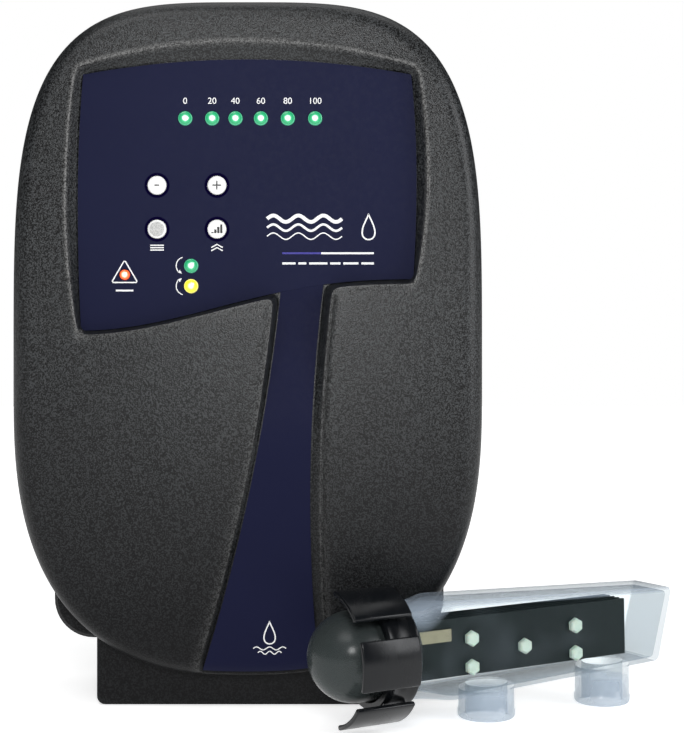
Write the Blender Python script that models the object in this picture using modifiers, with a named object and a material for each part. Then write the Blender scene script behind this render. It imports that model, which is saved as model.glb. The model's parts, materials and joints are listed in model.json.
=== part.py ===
"""Salt chlorine generator: a wall-type controller and its clear electrolysis cell.

Metres, +Z up. The controller's front faces -Y. The origin is the centre of the
controller's flat base. The cell stands on its two ports, its near end in front of
the controller's lower right corner and its far end beside the controller.
"""
import math

import bmesh
import bpy
from mathutils import Matrix, Vector

MM = 0.001
GAP = 0.3 * MM                      # clearance between pieces that touch

# ---------------------------------------------------------------- controller
SPLIT_Y = -33 * MM                  # plane where the cover meets the rear case
COVER_HALF_W = 124.5 * MM
COVER_TOP_CENTRE_Z = 186.4 * MM     # centre of the upper half of the outline
COVER_TOP_REACH = 188.8 * MM
COVER_TOP_POWER = 3.67
COVER_LOW_CENTRE_Z = 165.1 * MM     # centre of the lower half of the outline
COVER_LOW_REACH = 147.3 * MM
COVER_LOW_POWER = 2.6
COVER_SIDE = 5 * MM                 # straight side wall
COVER_EDGE_R = 10 * MM              # rounded edge between side and face
COVER_BULGE = 8 * MM                # crown of the face
BULGE_POWER = 2.2
COVER_WALL = 2.5 * MM

PANEL_DEPTH = 11 * MM               # panel floor, in front of the split plane
OVERLAY_THICK = 0.8 * MM
# half widths at the top, the middle and the foot, then heights
PANEL_FLOOR = dict(top=86.5, mid=89.3, low=87.6, crown=343.6, top_z=335.6,
                   foot_left=200.6, foot_right=227.7)
PANEL_MOUTH = dict(top=89.8, mid=94.6, low=88.0, crown=352.3, top_z=338.8,
                   foot_left=198.2, foot_right=224.8)
WAVE_POWER = 1.2                    # moves the foot's wave towards its right end

LED_X = (-32.7, -18.5, -6.2, 7.2, 21.4, 35.8)
LED_Z = 312.6
LED_R = 3.7 * MM
ALARM_R = 2.7 * MM
LED_LIFT = 0.7 * MM
LED_DEPTH = 5 * MM
ALARM_LED = (-64.6, 230.1)
POLARITY_LEDS = {"polarity_led_forward": (-29.6, 234.8), "polarity_led_reverse": (-29.6, 224.1)}

KEYS = {"minus": (-47.5, 277.2), "plus": (-15.9, 277.2),
        "shutter": (-47.5, 254.1), "boost": (-15.9, 254.1)}
KEY_R = 4.95 * MM
KEY_LIFT = 1.0 * MM                 # how far a key stands out of the overlay
KEY_TRAVEL = 0.8 * MM
KEY_FLANGE_R = 6.3 * MM
KEY_FLANGE_THICK = 1 * MM
KEY_STEM_R = 1.5 * MM
KEY_STEM = 4.4 * MM                 # from the flange's front to the stem's end
KEY_CHAMFER = 0.4 * MM
SWITCH_HALF = 3 * MM
SWITCH_DEPTH = 3.5 * MM
BOARD_THICK = 1.6 * MM
CONTROL_BOARD = (-76 * MM, 214 * MM, 62 * MM, 326 * MM)     # left, foot, right, top

STRIPE_TOP_Z = 224 * MM
STRIPE_FOOT_Z = 20.6 * MM
CHANNEL_DEPTH = 3 * MM
CHANNEL_RAMP_Z = 140 * MM           # above this the channel runs down to the panel
STRIPE_THICK = 0.8 * MM
STRIPE_STEPS = 20
STRIPE_LIFT = 0.9 * MM              # adhesive bed under the inlay

FLANGE_Y = SPLIT_Y + 2.3 * MM
FLANGE_THICK = 3 * MM
FLANGE_INSET = 0.8 * MM
MOUTH_INSET = 14 * MM               # opening behind the cover, inside the cover's outline
CASE_HALF_W = 102.7 * MM
CASE_FOOT_Z = 37.8 * MM
CASE_TOP_Z = 345 * MM
CASE_BACK_Y = SPLIT_Y + 88 * MM
CASE_WALL = 3 * MM
CASE_CORNER = 19 * MM
FOOT_HALF_W = 81.8 * MM             # lower box, the controller's foot
FOOT_TOP_Z = 70 * MM
FOOT_CORNER = 4.5 * MM
FOOT_BACK_Y = SPLIT_Y + 66 * MM
GLANDS = {"mains_gland": -40 * MM, "cell_gland": 40 * MM}
GLAND_Y = SPLIT_Y + 76.6 * MM
GLAND_THREAD_R = 8 * MM
GLAND_BORE_R = 4.6 * MM
GLAND_HEX_R = 9.8 * MM
SCREWS = ((-112.5, 262), (112.5, 262), (-111, 128), (111, 128))
SCREW_R = 1.5 * MM
SCREW_HEAD_R = 3.2 * MM
BOSS_R = 4 * MM
BRACKET_THICK = 2.5 * MM
BRACKET = (-70 * MM, 225 * MM, 70 * MM, 285 * MM)           # left, foot, right, top
WALL_SLOTS = (-50 * MM, 50 * MM)
WALL_SLOT_HALF_W = 3 * MM
WALL_SLOT_LOW = 245 * MM
WALL_SLOT_TOP = 265 * MM

TRANSFORMER_R = 50 * MM
TRANSFORMER_BORE_R = 20 * MM
TRANSFORMER_DEPTH = 44 * MM
TRANSFORMER_Z = 104 * MM
CLAMP_R = 30 * MM
CLAMP_BOLT_R = 4 * MM
POWER_BOARD = (-85 * MM, 172 * MM, 85 * MM, 262 * MM)       # left, foot, right, top
POWER_BOARD_GAP = 8 * MM            # behind the power board
HEAT_SINK_Z = 306 * MM
HEAT_SINK_HEIGHT = 56 * MM
FIN_COUNT = 10
FIN_THICK = 4                       # the fins are drawn in millimetres
FIN_ROOT = 5
FIN_TIP = 25
SINK_HALF_W = 50

# ---------------------------------------------------------------------- cell
CELL_POS = Vector((72.6 * MM, SPLIT_Y - 52 * MM, 38.8 * MM))   # middle of the nut
CELL_YAW = math.radians(28)         # far end turned away from the front
CELL_PITCH = math.radians(1.2)      # far end raised
NECK_R = 25 * MM
NECK_BORE_R = 21 * MM
NUT_R = 27.6 * MM
NUT_FRONT = -13 * MM
NUT_BACK = 4.5 * MM
LUG_TURNS = (208, 268, 328)         # rest angles of the lugs, in degrees from the nut's lowest line
LUG_R = 34.5 * MM
LUG_HALF_ANGLE = math.radians(21)
LUG_CAP_THICK = 2.6 * MM
LUG_WEB_HALF = 4 * MM
LUG_START = -32 * MM                # the caps reach past the nut, over the dome
LUG_END = 0.0
DOME_R = 22.7 * MM
DOME_CENTRE = -19.6 * MM
HOUSING_WALL = 2 * MM
HOUSING_END = 169.5 * MM
HOUSING_RAKE = 10 * MM              # the far end leans back towards its foot
PORTS = (59.2 * MM, 134 * MM)
PORT_R = 14.5 * MM
PORT_BORE_R = 11 * MM
PORT_RIM_R = 2 * MM                 # rounding of the port's outer rim
PLATE_COUNT = 5
PLATE_PITCH = 4 * MM
PLATE_THICK = 1.6 * MM
PLATE_START = 9.6 * MM
PLATE_END = 142.5 * MM
PLATE_LOW = -14.8 * MM
PLATE_HIGH = 14.8 * MM
STACK_BOLTS = ((44, 3.7), (44, -10.9), (76.5, -3.6), (109, 3.7), (109, -10.9))

OUTLINE_STEPS = 52


# ------------------------------------------------------------------- helpers
def fresh_scene():
    for old in list(bpy.data.objects):
        bpy.data.objects.remove(old)
    made = []
    for name in ("salt_chlorine_generator", "cutters"):
        group = bpy.data.collections.new(name)
        bpy.context.scene.collection.children.link(group)
        made.append(group)
    return made


PARTS, CUTTERS = fresh_scene()


def material(name, colour, roughness=0.5, metallic=0.0, alpha=1.0):
    found = bpy.data.materials.get(name)
    if found:
        return found
    made = bpy.data.materials.new(name)
    made.use_nodes = True
    shader = made.node_tree.nodes["Principled BSDF"]
    shader.inputs["Base Color"].default_value = (*colour, 1.0)
    shader.inputs["Roughness"].default_value = roughness
    shader.inputs["Metallic"].default_value = metallic
    shader.inputs["Alpha"].default_value = alpha
    made.diffuse_color = (*colour, alpha)
    return made


def case_plastic():
    return material("case_plastic", (0.045, 0.047, 0.05), 0.55)


def overlay_film():
    return material("overlay_film", (0.012, 0.013, 0.045), 0.35)


def clear_plastic():
    return material("clear_plastic", (0.85, 0.9, 0.95), 0.08, alpha=0.3)


def nut_plastic():
    return material("nut_plastic", (0.012, 0.014, 0.018), 0.22)


def board_material():
    return material("circuit_board", (0.02, 0.12, 0.05), 0.5)


def steel():
    return material("screw_steel", (0.6, 0.6, 0.6), 0.3, 1.0)


def add_object(name, mesh, look, cutter=False, parent=None, place=None):
    piece = bpy.data.objects.new(name, mesh)
    (CUTTERS if cutter else PARTS).objects.link(piece)
    if cutter:
        piece.hide_render = True
        piece.display_type = "WIRE"
    elif look:
        mesh.materials.clear()
        mesh.materials.append(look)
    if parent:
        piece.parent = parent
    if place:
        piece.matrix_local = place
    bpy.context.view_layer.update()
    return piece


def mesh_from(name, bm):
    mesh = bpy.data.meshes.new(name)
    bmesh.ops.recalc_face_normals(bm, faces=bm.faces)
    bm.to_mesh(mesh)
    bm.free()
    return mesh


def smooth(piece, angle=35):
    piece.data.shade_smooth()
    piece.data.set_sharp_from_angle(angle=math.radians(angle))


def box(name, low, high, look, bevel=0.0, **where):
    """A box between two corners, its edges rounded by bevel."""
    low, high = Vector(low), Vector(high)
    bm = bmesh.new()
    bmesh.ops.create_cube(bm, size=1.0)
    bmesh.ops.scale(bm, vec=high - low, verts=bm.verts)
    bmesh.ops.translate(bm, vec=(high + low) / 2, verts=bm.verts)
    piece = add_object(name, mesh_from(name, bm), look, **where)
    if bevel:
        edge = piece.modifiers.new("edges", "BEVEL")
        edge.width = bevel
        edge.segments = 2
    return piece


def along_y(x, y, z):
    """Turned shapes are made about Z; this lays their axis along +Y."""
    return Matrix.Translation((x, y, z)) @ Matrix.Rotation(math.radians(-90), 4, "X")


def along_x(s, y=0.0, z=0.0):
    """Lays a turned shape's axis along +X, the cell's own axis."""
    return Matrix.Translation((s, y, z)) @ Matrix.Rotation(math.radians(90), 4, "Y")


def turned(name, profile, look, steps=24, **where):
    """A profile of (radius, height) points, highest point first, spun about Z."""
    mesh = bpy.data.meshes.new(name)
    points = [(r, 0.0, h) for r, h in profile]
    edges = [(i, i + 1) for i in range(len(points) - 1)]
    ring = profile[0][0] > 0 and profile[-1][0] > 0
    if ring:
        edges.append((len(points) - 1, 0))
    mesh.from_pydata(points, edges, [])
    piece = add_object(name, mesh, look, **where)
    spin = piece.modifiers.new("spin", "SCREW")
    spin.steps = steps
    spin.render_steps = steps
    spin.use_merge_vertices = True
    spin.merge_threshold = 0.00001
    spin.use_smooth_shade = False
    return piece


def rod_profile(radius, low, high):
    return [(0.0, high), (radius, high), (radius, low), (0.0, low)]


def ring_profile(outer, inner, low, high):
    return [(outer, high), (outer, low), (inner, low), (inner, high)]


def flat_curve(name, outline, holes, thickness):
    """A flat plate in the curve's own XY plane, with holes, centred on that plane."""
    curve = bpy.data.curves.new(name, "CURVE")
    curve.dimensions = "2D"
    curve.fill_mode = "BOTH"
    curve.extrude = thickness / 2
    curve.render_resolution_u = 0
    for points in (outline, *holes):
        spline = curve.splines.new("POLY")
        spline.points.add(len(points) - 1)
        for slot, (u, v) in zip(spline.points, points):
            slot.co = (u, v, 0.0, 1.0)
        spline.use_cyclic_u = True
    return curve


def plate(name, outline, thickness, look, place, holes=(), cutter=False):
    """A flat outline made solid: a filled curve turned into a welded mesh."""
    curve = flat_curve(name + "_outline", outline, holes, thickness)
    guide = bpy.data.objects.new(name + "_outline", curve)
    CUTTERS.objects.link(guide)
    guide.matrix_world = place
    bpy.context.view_layer.update()
    graph = bpy.context.evaluated_depsgraph_get()
    mesh = bpy.data.meshes.new_from_object(guide.evaluated_get(graph))
    mesh.name = name
    bm = bmesh.new()
    bm.from_mesh(mesh)
    bmesh.ops.remove_doubles(bm, verts=bm.verts, dist=0.00001)
    bm.to_mesh(mesh)
    bm.free()
    piece = add_object(name, mesh, look, cutter=cutter, place=guide.matrix_world.copy())
    bpy.data.objects.remove(guide)
    return piece


def facing_front(y):
    """Places a flat outline so that its u runs along +X, its v along +Z."""
    return Matrix.Translation((0.0, y, 0.0)) @ Matrix.Rotation(math.radians(90), 4, "X")


def boolean(piece, other, operation="DIFFERENCE"):
    cut = piece.modifiers.new(operation.lower(), "BOOLEAN")
    cut.operation = operation
    cut.solver = "EXACT"
    cut.object = other


def joined(name, pieces):
    """Several cutters as one mesh, placed in the world."""
    graph = bpy.context.evaluated_depsgraph_get()
    bm = bmesh.new()
    for piece in pieces:
        part = bpy.data.meshes.new_from_object(piece.evaluated_get(graph))
        part.transform(piece.matrix_world)
        bm.from_mesh(part)
    mesh = bpy.data.meshes.new(name)
    bm.to_mesh(mesh)
    bm.free()
    for piece in pieces:
        bpy.data.objects.remove(piece)
    return add_object(name, mesh, None, cutter=True)


def circle(x, z, radius, steps=14):
    turn = 2 * math.pi / steps
    return [(x + radius * math.cos(i * turn), z + radius * math.sin(i * turn)) for i in range(steps)]


def rounded_rectangle(low_u, low_v, high_u, high_v, radius, steps=4):
    corners = ((high_u - radius, high_v - radius, 0), (low_u + radius, high_v - radius, 90),
               (low_u + radius, low_v + radius, 180), (high_u - radius, low_v + radius, 270))
    points = []
    for u, v, start in corners:
        for i in range(steps + 1):
            angle = math.radians(start + 90 * i / steps)
            points.append((u + radius * math.cos(angle), v + radius * math.sin(angle)))
    return points


def skin(bm, rings, cap_first=True, cap_last=True):
    """Joins rings of equal length into a closed loft."""
    count = len(rings[0])
    made = [[bm.verts.new(point) for point in ring] for ring in rings]
    for one, two in zip(made, made[1:]):
        for i in range(count):
            j = (i + 1) % count
            bm.faces.new((one[i], one[j], two[j], two[i]))
    if cap_first:
        bm.faces.new(made[0])
    if cap_last:
        bm.faces.new(made[-1])


def loft(name, rings, look=None, **where):
    bm = bmesh.new()
    skin(bm, rings)
    return add_object(name, mesh_from(name, bm), look, **where)


# ------------------------------------------------------- the cover's surface
def power(value, exponent):
    return math.copysign(abs(value) ** exponent, value)


def outline_point(angle):
    """A point of the cover's outline and the centre that it shrinks towards."""
    cos, sin = math.cos(angle), math.sin(angle)
    if sin >= 0:
        centre, reach, order = COVER_TOP_CENTRE_Z, COVER_TOP_REACH, COVER_TOP_POWER
    else:
        centre, reach, order = COVER_LOW_CENTRE_Z, COVER_LOW_REACH, COVER_LOW_POWER
    x = COVER_HALF_W * power(cos, 2 / order)
    z = centre + reach * power(sin, 2 / order)
    return x, z, centre


def cover_outline(inset, steps=OUTLINE_STEPS):
    points = []
    for i in range(steps):
        x, z, centre = outline_point(2 * math.pi * (i + 0.5) / steps)
        length = math.hypot(x, z - centre)
        keep = 1 - inset / length
        points.append((x * keep, centre + (z - centre) * keep))
    return points


def reach_ratio(x, z):
    """0 at the middle of the cover and 1 on its outline."""
    if z >= COVER_TOP_CENTRE_Z:
        up, reach, order = z - COVER_TOP_CENTRE_Z, COVER_TOP_REACH, COVER_TOP_POWER
    elif z <= COVER_LOW_CENTRE_Z:
        up, reach, order = COVER_LOW_CENTRE_Z - z, COVER_LOW_REACH, COVER_LOW_POWER
    else:
        return abs(x) / COVER_HALF_W
    return (abs(x / COVER_HALF_W) ** order + abs(up / reach) ** order) ** (1 / order)


def face_y(x, z):
    """The cover's face, from the rounded edge to the crown."""
    ratio = min(1.0, reach_ratio(x, z))
    centre = min(max(z, COVER_LOW_CENTRE_Z), COVER_TOP_CENTRE_Z)
    length = math.hypot(x, z - centre)
    inside = length * (1 / ratio - 1) if ratio > 0.01 else COVER_HALF_W
    height = COVER_SIDE + COVER_EDGE_R
    if inside < COVER_EDGE_R:
        height = COVER_SIDE + math.sqrt(COVER_EDGE_R ** 2 - (COVER_EDGE_R - inside) ** 2)
    return SPLIT_Y - height - COVER_BULGE * (1 - ratio ** BULGE_POWER)


def cover_lump(name, shrink, start_y, cutter):
    """The cover's outer shape, or its cavity when shrunk by the wall."""
    rings = [[(x, start_y, z) for x, z in cover_outline(shrink)]]
    edge = COVER_EDGE_R
    for step in range(4):
        turn = math.radians(30 * step)
        inset = shrink + edge * (1 - math.cos(turn))
        y = SPLIT_Y - COVER_SIDE - edge * math.sin(turn) + shrink
        ring = []
        for x, z in cover_outline(inset):
            crown = COVER_BULGE * (1 - min(1.0, reach_ratio(x, z)) ** BULGE_POWER)
            ring.append((x, y - crown, z))
        rings.append(ring)
    for inset in (30 * MM, 56 * MM, 90 * MM):
        rings.append([(x, face_y(x, z) + shrink, z) for x, z in cover_outline(inset)])
    return loft(name, rings, case_plastic(), cutter=cutter)


def panel_outline(shape, grow=0.0):
    """The display panel: arched top, bowed sides and a waved foot."""
    top, mid, low = (shape[key] * MM + grow for key in ("top", "mid", "low"))
    crown, top_z = shape["crown"] * MM + grow, shape["top_z"] * MM + grow
    left, right = shape["foot_left"] * MM - grow, shape["foot_right"] * MM - grow
    points = []
    for i in range(9):                              # arched top, left to right
        t = -1 + i / 4
        points.append((t * top, crown - (crown - top_z) * t * t))
    for i in range(1, 5):                           # right side, downwards
        t = i / 5
        bow = mid - (mid - top) * (1 - min(1.0, t * 2)) ** 2 - (mid - low) * max(0.0, t * 2 - 1) ** 2
        points.append((bow, top_z + (right - top_z) * t))
    for i in range(17):                             # waved foot, right to left
        t = i / 16
        rise = 0.5 + 0.5 * math.cos(math.pi * t ** WAVE_POWER)
        points.append((low - 2 * low * t, left + (right - left) * rise))
    for i in range(1, 5):                           # left side, upwards
        t = i / 5
        bow = mid - (mid - low) * (1 - min(1.0, t * 2)) ** 2 - (mid - top) * max(0.0, t * 2 - 1) ** 2
        points.append((-bow, left + (top_z - left) * t))
    return points


def panel_block(name, grow, floor_y):
    """Cutter from the panel's floor out through the cover's face."""
    floor = panel_outline(PANEL_FLOOR, grow)
    mouth = panel_outline(PANEL_MOUTH, grow)
    rings = [[(x, floor_y, z) for x, z in floor]]
    slope = []
    for (fx, fz), (mx, mz) in zip(floor, mouth):
        y = face_y(mx, mz)
        slope.append((fx + (mx - fx) * 1.2, floor_y + (y - floor_y) * 1.2, fz + (mz - fz) * 1.2))
    rings.append(slope)
    rings.append([(x, SPLIT_Y - 40 * MM, z) for x, _, z in slope])
    return loft(name, rings, cutter=True)


def stripe_sides(z):
    """Left and right edge of the centre stripe at a height."""
    z = z / MM
    left = -30.6 + 0.345 * z - 0.000575 * z * z
    right = 33.4 + 0.00053 * (z - 112) ** 2
    return left * MM, right * MM


def stripe_stations():
    """Heights shared by the channel and its inlay, closer together near the foot."""
    span = STRIPE_TOP_Z - STRIPE_FOOT_Z
    return [STRIPE_FOOT_Z + span * (i / STRIPE_STEPS) ** 1.5 for i in range(STRIPE_STEPS + 1)]


def channel_floor_y(x, z):
    ramp = max(0.0, (z - CHANNEL_RAMP_Z) / (STRIPE_TOP_Z - CHANNEL_RAMP_Z))
    floor = face_y(x, z) + CHANNEL_DEPTH
    panel = SPLIT_Y - PANEL_DEPTH - OVERLAY_THICK
    ease = ramp * ramp * (3 - 2 * ramp)
    return floor + (panel - floor) * min(1.0, ease)


def channel_block(name, grow):
    """Cutter from the stripe channel's floor out through the cover's face."""
    rings = []
    foot, top = STRIPE_FOOT_Z - 0.5 * MM - grow, STRIPE_TOP_Z + 6 * MM
    for z in (foot, *stripe_stations(), top):
        left, right = stripe_sides(z)
        floor_z = min(max(z, STRIPE_FOOT_Z), STRIPE_TOP_Z)
        ring = []
        for t in (0, 0.25, 0.5, 0.75, 1):
            x = left - 0.5 * MM - grow + (right - left + 1.0 * MM + 2 * grow) * t
            ring.append((x, channel_floor_y(x, floor_z) + grow, z))
        outer_left, outer_right = left - 2.5 * MM - grow, right + 4.5 * MM + grow
        ring.append((outer_right, SPLIT_Y - 36 * MM, z))
        ring.append((outer_left, SPLIT_Y - 36 * MM, z))
        rings.append(ring)
    return loft(name, rings, cutter=True)


# ----------------------------------------------------------- controller parts
def panel_features():
    """Centre and hole radius of every lens and key in the panel."""
    holes = [(x * MM, LED_Z * MM, LED_R + GAP) for x in LED_X]
    for x, z in POLARITY_LEDS.values():
        holes.append((x * MM, z * MM, LED_R + GAP))
    holes.append((ALARM_LED[0] * MM, ALARM_LED[1] * MM, ALARM_R + GAP))
    for x, z in KEYS.values():
        holes.append((x * MM, z * MM, KEY_R + GAP))
    return holes


def front_cover():
    cover = cover_lump("front_cover", 0.0, SPLIT_Y, cutter=False)
    cavity = cover_lump("cover_cavity", COVER_WALL, SPLIT_Y + 1 * MM, cutter=True)
    floor_y = SPLIT_Y - PANEL_DEPTH
    boolean(cavity, panel_block("panel_backing", COVER_WALL, floor_y + COVER_WALL))
    boolean(cavity, channel_block("channel_backing", COVER_WALL))
    boss_list = []
    for x, z in SCREWS:
        place = along_y(x * MM, SPLIT_Y - 6 * MM, z * MM)
        boss_list.append(turned("boss", rod_profile(BOSS_R, -8 * MM, 8 * MM), None, 12,
                                cutter=True, place=place))
    boolean(cavity, joined("screw_bosses", boss_list))
    boolean(cover, panel_block("panel_recess", 0.0, floor_y))
    boolean(cover, channel_block("stripe_channel", 0.0))
    boolean(cover, cavity)
    drills = []
    for x, z, radius in panel_features():
        drills.append(turned("drill", rod_profile(radius, -9 * MM, 9 * MM), None, 14, cutter=True,
                             place=along_y(x, floor_y, z)))
    for x, z in SCREWS:
        drills.append(turned("drill", rod_profile(SCREW_R + GAP, -8 * MM, 8 * MM), None, 10, cutter=True,
                             place=along_y(x * MM, SPLIT_Y - 1 * MM, z * MM)))
    boolean(cover, joined("cover_drills", drills))
    return cover


def display_overlay():
    outline = panel_outline(PANEL_FLOOR, -0.8 * MM)
    holes = [circle(x, z, radius) for x, z, radius in panel_features()]
    y = SPLIT_Y - PANEL_DEPTH - GAP - OVERLAY_THICK / 2
    return plate("display_overlay", outline, OVERLAY_THICK, overlay_film(), facing_front(y), holes)


def stripe_inlay():
    """Thin curved inlay on the floor of the channel."""
    foot, top = STRIPE_FOOT_Z + 0.5 * MM, STRIPE_TOP_Z - 2.5 * MM
    bm = bmesh.new()
    rows = []
    for z in (foot, *stripe_stations()[1:-1], top):
        left, right = stripe_sides(z)
        row = []
        for t in (0, 0.25, 0.5, 0.75, 1):
            x = left + (right - left) * t
            row.append(bm.verts.new((x, channel_floor_y(x, z) - STRIPE_LIFT, z)))
        rows.append(row)
    for one, two in zip(rows, rows[1:]):
        for i in range(4):
            bm.faces.new((one[i], one[i + 1], two[i + 1], two[i]))
    piece = add_object("stripe_inlay", mesh_from("stripe_inlay", bm), overlay_film())
    thick = piece.modifiers.new("thickness", "SOLIDIFY")
    thick.thickness = STRIPE_THICK
    thick.offset = 1.0 if piece.data.polygons[0].normal.y < 0 else -1.0
    return piece


def led_lens(name, x, z, look, radius=LED_R):
    """Domed window, seated through the overlay and the panel floor."""
    front = SPLIT_Y - PANEL_DEPTH - GAP - OVERLAY_THICK
    profile = [(0.0, LED_DEPTH), (radius, LED_DEPTH), (radius, 0.0), (radius * 0.75, -LED_LIFT * 0.6),
               (radius * 0.4, -LED_LIFT * 0.93), (0.0, -LED_LIFT)]
    return turned(name, profile, look, 12, place=along_y(x * MM, front, z * MM))


def led_lenses():
    green = material("led_green", (0.02, 0.45, 0.2), 0.2)
    red = material("led_red", (0.8, 0.08, 0.02), 0.2)
    yellow = material("led_yellow", (0.75, 0.65, 0.05), 0.2)
    for number, x in enumerate(LED_X, 1):
        led_lens(f"output_led_{number}", x, LED_Z, green)
    led_lens("alarm_led", *ALARM_LED, red, ALARM_R)
    for (name, spot), look in zip(POLARITY_LEDS.items(), (green, yellow)):
        led_lens(name, *spot, look)


def panel_keys():
    """Round keys with a retaining flange behind the panel; gives the depth of their stems' ends."""
    front = SPLIT_Y - PANEL_DEPTH - GAP - OVERLAY_THICK - KEY_LIFT
    flange = SPLIT_Y - PANEL_DEPTH + COVER_WALL + GAP - front
    flange_back, stem_end = flange + KEY_FLANGE_THICK, flange + KEY_STEM
    profile = [(0.0, stem_end), (KEY_STEM_R, stem_end), (KEY_STEM_R, flange_back),
               (KEY_FLANGE_R, flange_back), (KEY_FLANGE_R, flange), (KEY_R, flange),
               (KEY_R, KEY_CHAMFER), (KEY_R - KEY_CHAMFER, 0.0), (0.0, 0.0)]
    white = material("key_cap", (0.85, 0.85, 0.85), 0.4)
    for name, (x, z) in KEYS.items():
        turned("key_" + name, profile, white, 16, place=along_y(x * MM, front, z * MM))
    return front + stem_end


def control_electronics(stem_y):
    """Control board behind the panel, with one push switch behind each key."""
    switch_front = stem_y + KEY_TRAVEL + GAP
    board = switch_front + SWITCH_DEPTH + GAP
    black = material("switch_black", (0.02, 0.02, 0.02), 0.4)
    half = SWITCH_HALF
    for name, (x, z) in KEYS.items():
        x, z = x * MM, z * MM
        box("switch_" + name, (x - half, switch_front, z - half),
            (x + half, switch_front + SWITCH_DEPTH, z + half), black, 0.3 * MM)
    left, foot, right, top = CONTROL_BOARD
    box("control_board", (left, board, foot), (right, board + BOARD_THICK, top), board_material())


def cover_gasket():
    outline = cover_outline(0.7 * MM)
    hole = cover_outline(2.3 * MM)
    y = SPLIT_Y + GAP + 0.85 * MM
    rubber = material("gasket_rubber", (0.02, 0.02, 0.02), 0.8)
    return plate("cover_gasket", outline, 1.4 * MM, rubber, facing_front(y), [hole])


def deep_plate(name, outline, front, back):
    """A cutter with a flat outline, from one depth to another."""
    place = facing_front((front + back) / 2)
    return plate(name, outline, back - front, None, place, cutter=True)


def rear_case():
    """Flange, deep rear box and lower box in one hollow moulding, open behind the cover."""
    flange_back = FLANGE_Y + FLANGE_THICK
    middle = facing_front((FLANGE_Y + flange_back) / 2)
    case = plate("rear_case", cover_outline(FLANGE_INSET), FLANGE_THICK, case_plastic(), middle)
    body = rounded_rectangle(-CASE_HALF_W, CASE_FOOT_Z, CASE_HALF_W, CASE_TOP_Z, CASE_CORNER, 5)
    boolean(case, deep_plate("case_body", body, FLANGE_Y + 1 * MM, CASE_BACK_Y), "UNION")
    foot = rounded_rectangle(-FOOT_HALF_W, 0.0, FOOT_HALF_W, FOOT_TOP_Z, FOOT_CORNER, 3)
    boolean(case, deep_plate("case_foot", foot, FLANGE_Y, FOOT_BACK_Y), "UNION")
    wall = CASE_WALL
    hollow = rounded_rectangle(-CASE_HALF_W + wall, CASE_FOOT_Z + wall, CASE_HALF_W - wall,
                               CASE_TOP_Z - wall, CASE_CORNER - wall, 4)
    boolean(case, deep_plate("case_hollow", hollow, flange_back, CASE_BACK_Y - wall))
    mouth = deep_plate("case_mouth", cover_outline(MOUTH_INSET), FLANGE_Y - 1 * MM, flange_back + 1 * MM)
    boolean(mouth, deep_plate("mouth_limit", hollow, FLANGE_Y - 2 * MM, flange_back + 2 * MM), "INTERSECT")
    boolean(case, mouth)
    foot_hollow = rounded_rectangle(-FOOT_HALF_W + wall, wall, FOOT_HALF_W - wall, FOOT_TOP_Z - 10 * MM,
                                    2 * MM, 2)
    boolean(case, deep_plate("foot_hollow", foot_hollow, flange_back, FOOT_BACK_Y - wall))
    drills = []
    for x in GLANDS.values():
        drills.append(turned("drill", rod_profile(GLAND_THREAD_R + GAP, -6 * MM, 6 * MM), None, 20,
                             cutter=True, place=Matrix.Translation((x, GLAND_Y, CASE_FOOT_Z))))
    for x, z in SCREWS:
        drills.append(turned("drill", rod_profile(SCREW_R + 0.4 * MM, -6 * MM, 6 * MM), None, 12, cutter=True,
                             place=along_y(x * MM, FLANGE_Y, z * MM)))
    boolean(case, joined("case_drills", drills))
    return case


def cable_glands():
    """Hollow screwed glands in the case's underside, behind the foot."""
    grey = material("gland_nylon", (0.05, 0.05, 0.055), 0.5)
    body = GLAND_HEX_R - 0.8 * MM
    profile = [(GLAND_THREAD_R, 9 * MM), (GLAND_THREAD_R, -GAP), (GLAND_HEX_R, -GAP),
               (GLAND_HEX_R, -5 * MM), (body, -6 * MM), (body, -14 * MM), (body - 1.5 * MM, -19 * MM),
               (GLAND_BORE_R, -19 * MM), (GLAND_BORE_R, 9 * MM)]
    for name, x in GLANDS.items():
        turned(name, profile, grey, 16, place=Matrix.Translation((x, GLAND_Y, CASE_FOOT_Z)))


def cover_screws():
    """Pan-head screws through the case flange into the cover's bosses."""
    head = FLANGE_Y + FLANGE_THICK + GAP
    profile = [(0.0, 2.2 * MM), (SCREW_HEAD_R - 1 * MM, 2.2 * MM), (SCREW_HEAD_R, 1.4 * MM),
               (SCREW_HEAD_R, 0.0), (SCREW_R, 0.0), (SCREW_R, -11 * MM), (0.0, -12 * MM)]
    for number, (x, z) in enumerate(SCREWS, 1):
        turned(f"cover_screw_{number}", profile, steel(), 12, place=along_y(x * MM, head, z * MM))


def transformer(back):
    """Ring-shaped transformer, held by a dished washer and bolt."""
    copper = material("winding_tape", (0.45, 0.3, 0.08), 0.5)
    depth, outer, inner = TRANSFORMER_DEPTH, TRANSFORMER_R, TRANSFORMER_BORE_R
    ease, bevel = 5 * MM, 6 * MM
    ring = [(outer, depth - bevel), (outer, bevel), (outer - ease, 0.0), (inner + ease, 0.0),
            (inner, bevel), (inner, depth - bevel), (inner + ease, depth), (outer - ease, depth)]
    place = along_y(0, back - depth, TRANSFORMER_Z)
    turned("transformer", ring, copper, 28, place=place)
    washer, nut = -2.5 * MM, -7 * MM
    clamp = [(0.0, depth), (CLAMP_BOLT_R, depth), (CLAMP_BOLT_R, -GAP), (CLAMP_R - 2 * MM, -GAP),
             (CLAMP_R, -1.5 * MM), (CLAMP_R, washer), (CLAMP_BOLT_R * 2, washer),
             (CLAMP_BOLT_R * 2 - 1 * MM, nut), (0.0, nut)]
    turned("transformer_clamp", clamp, steel(), 20, place=place)


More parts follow.
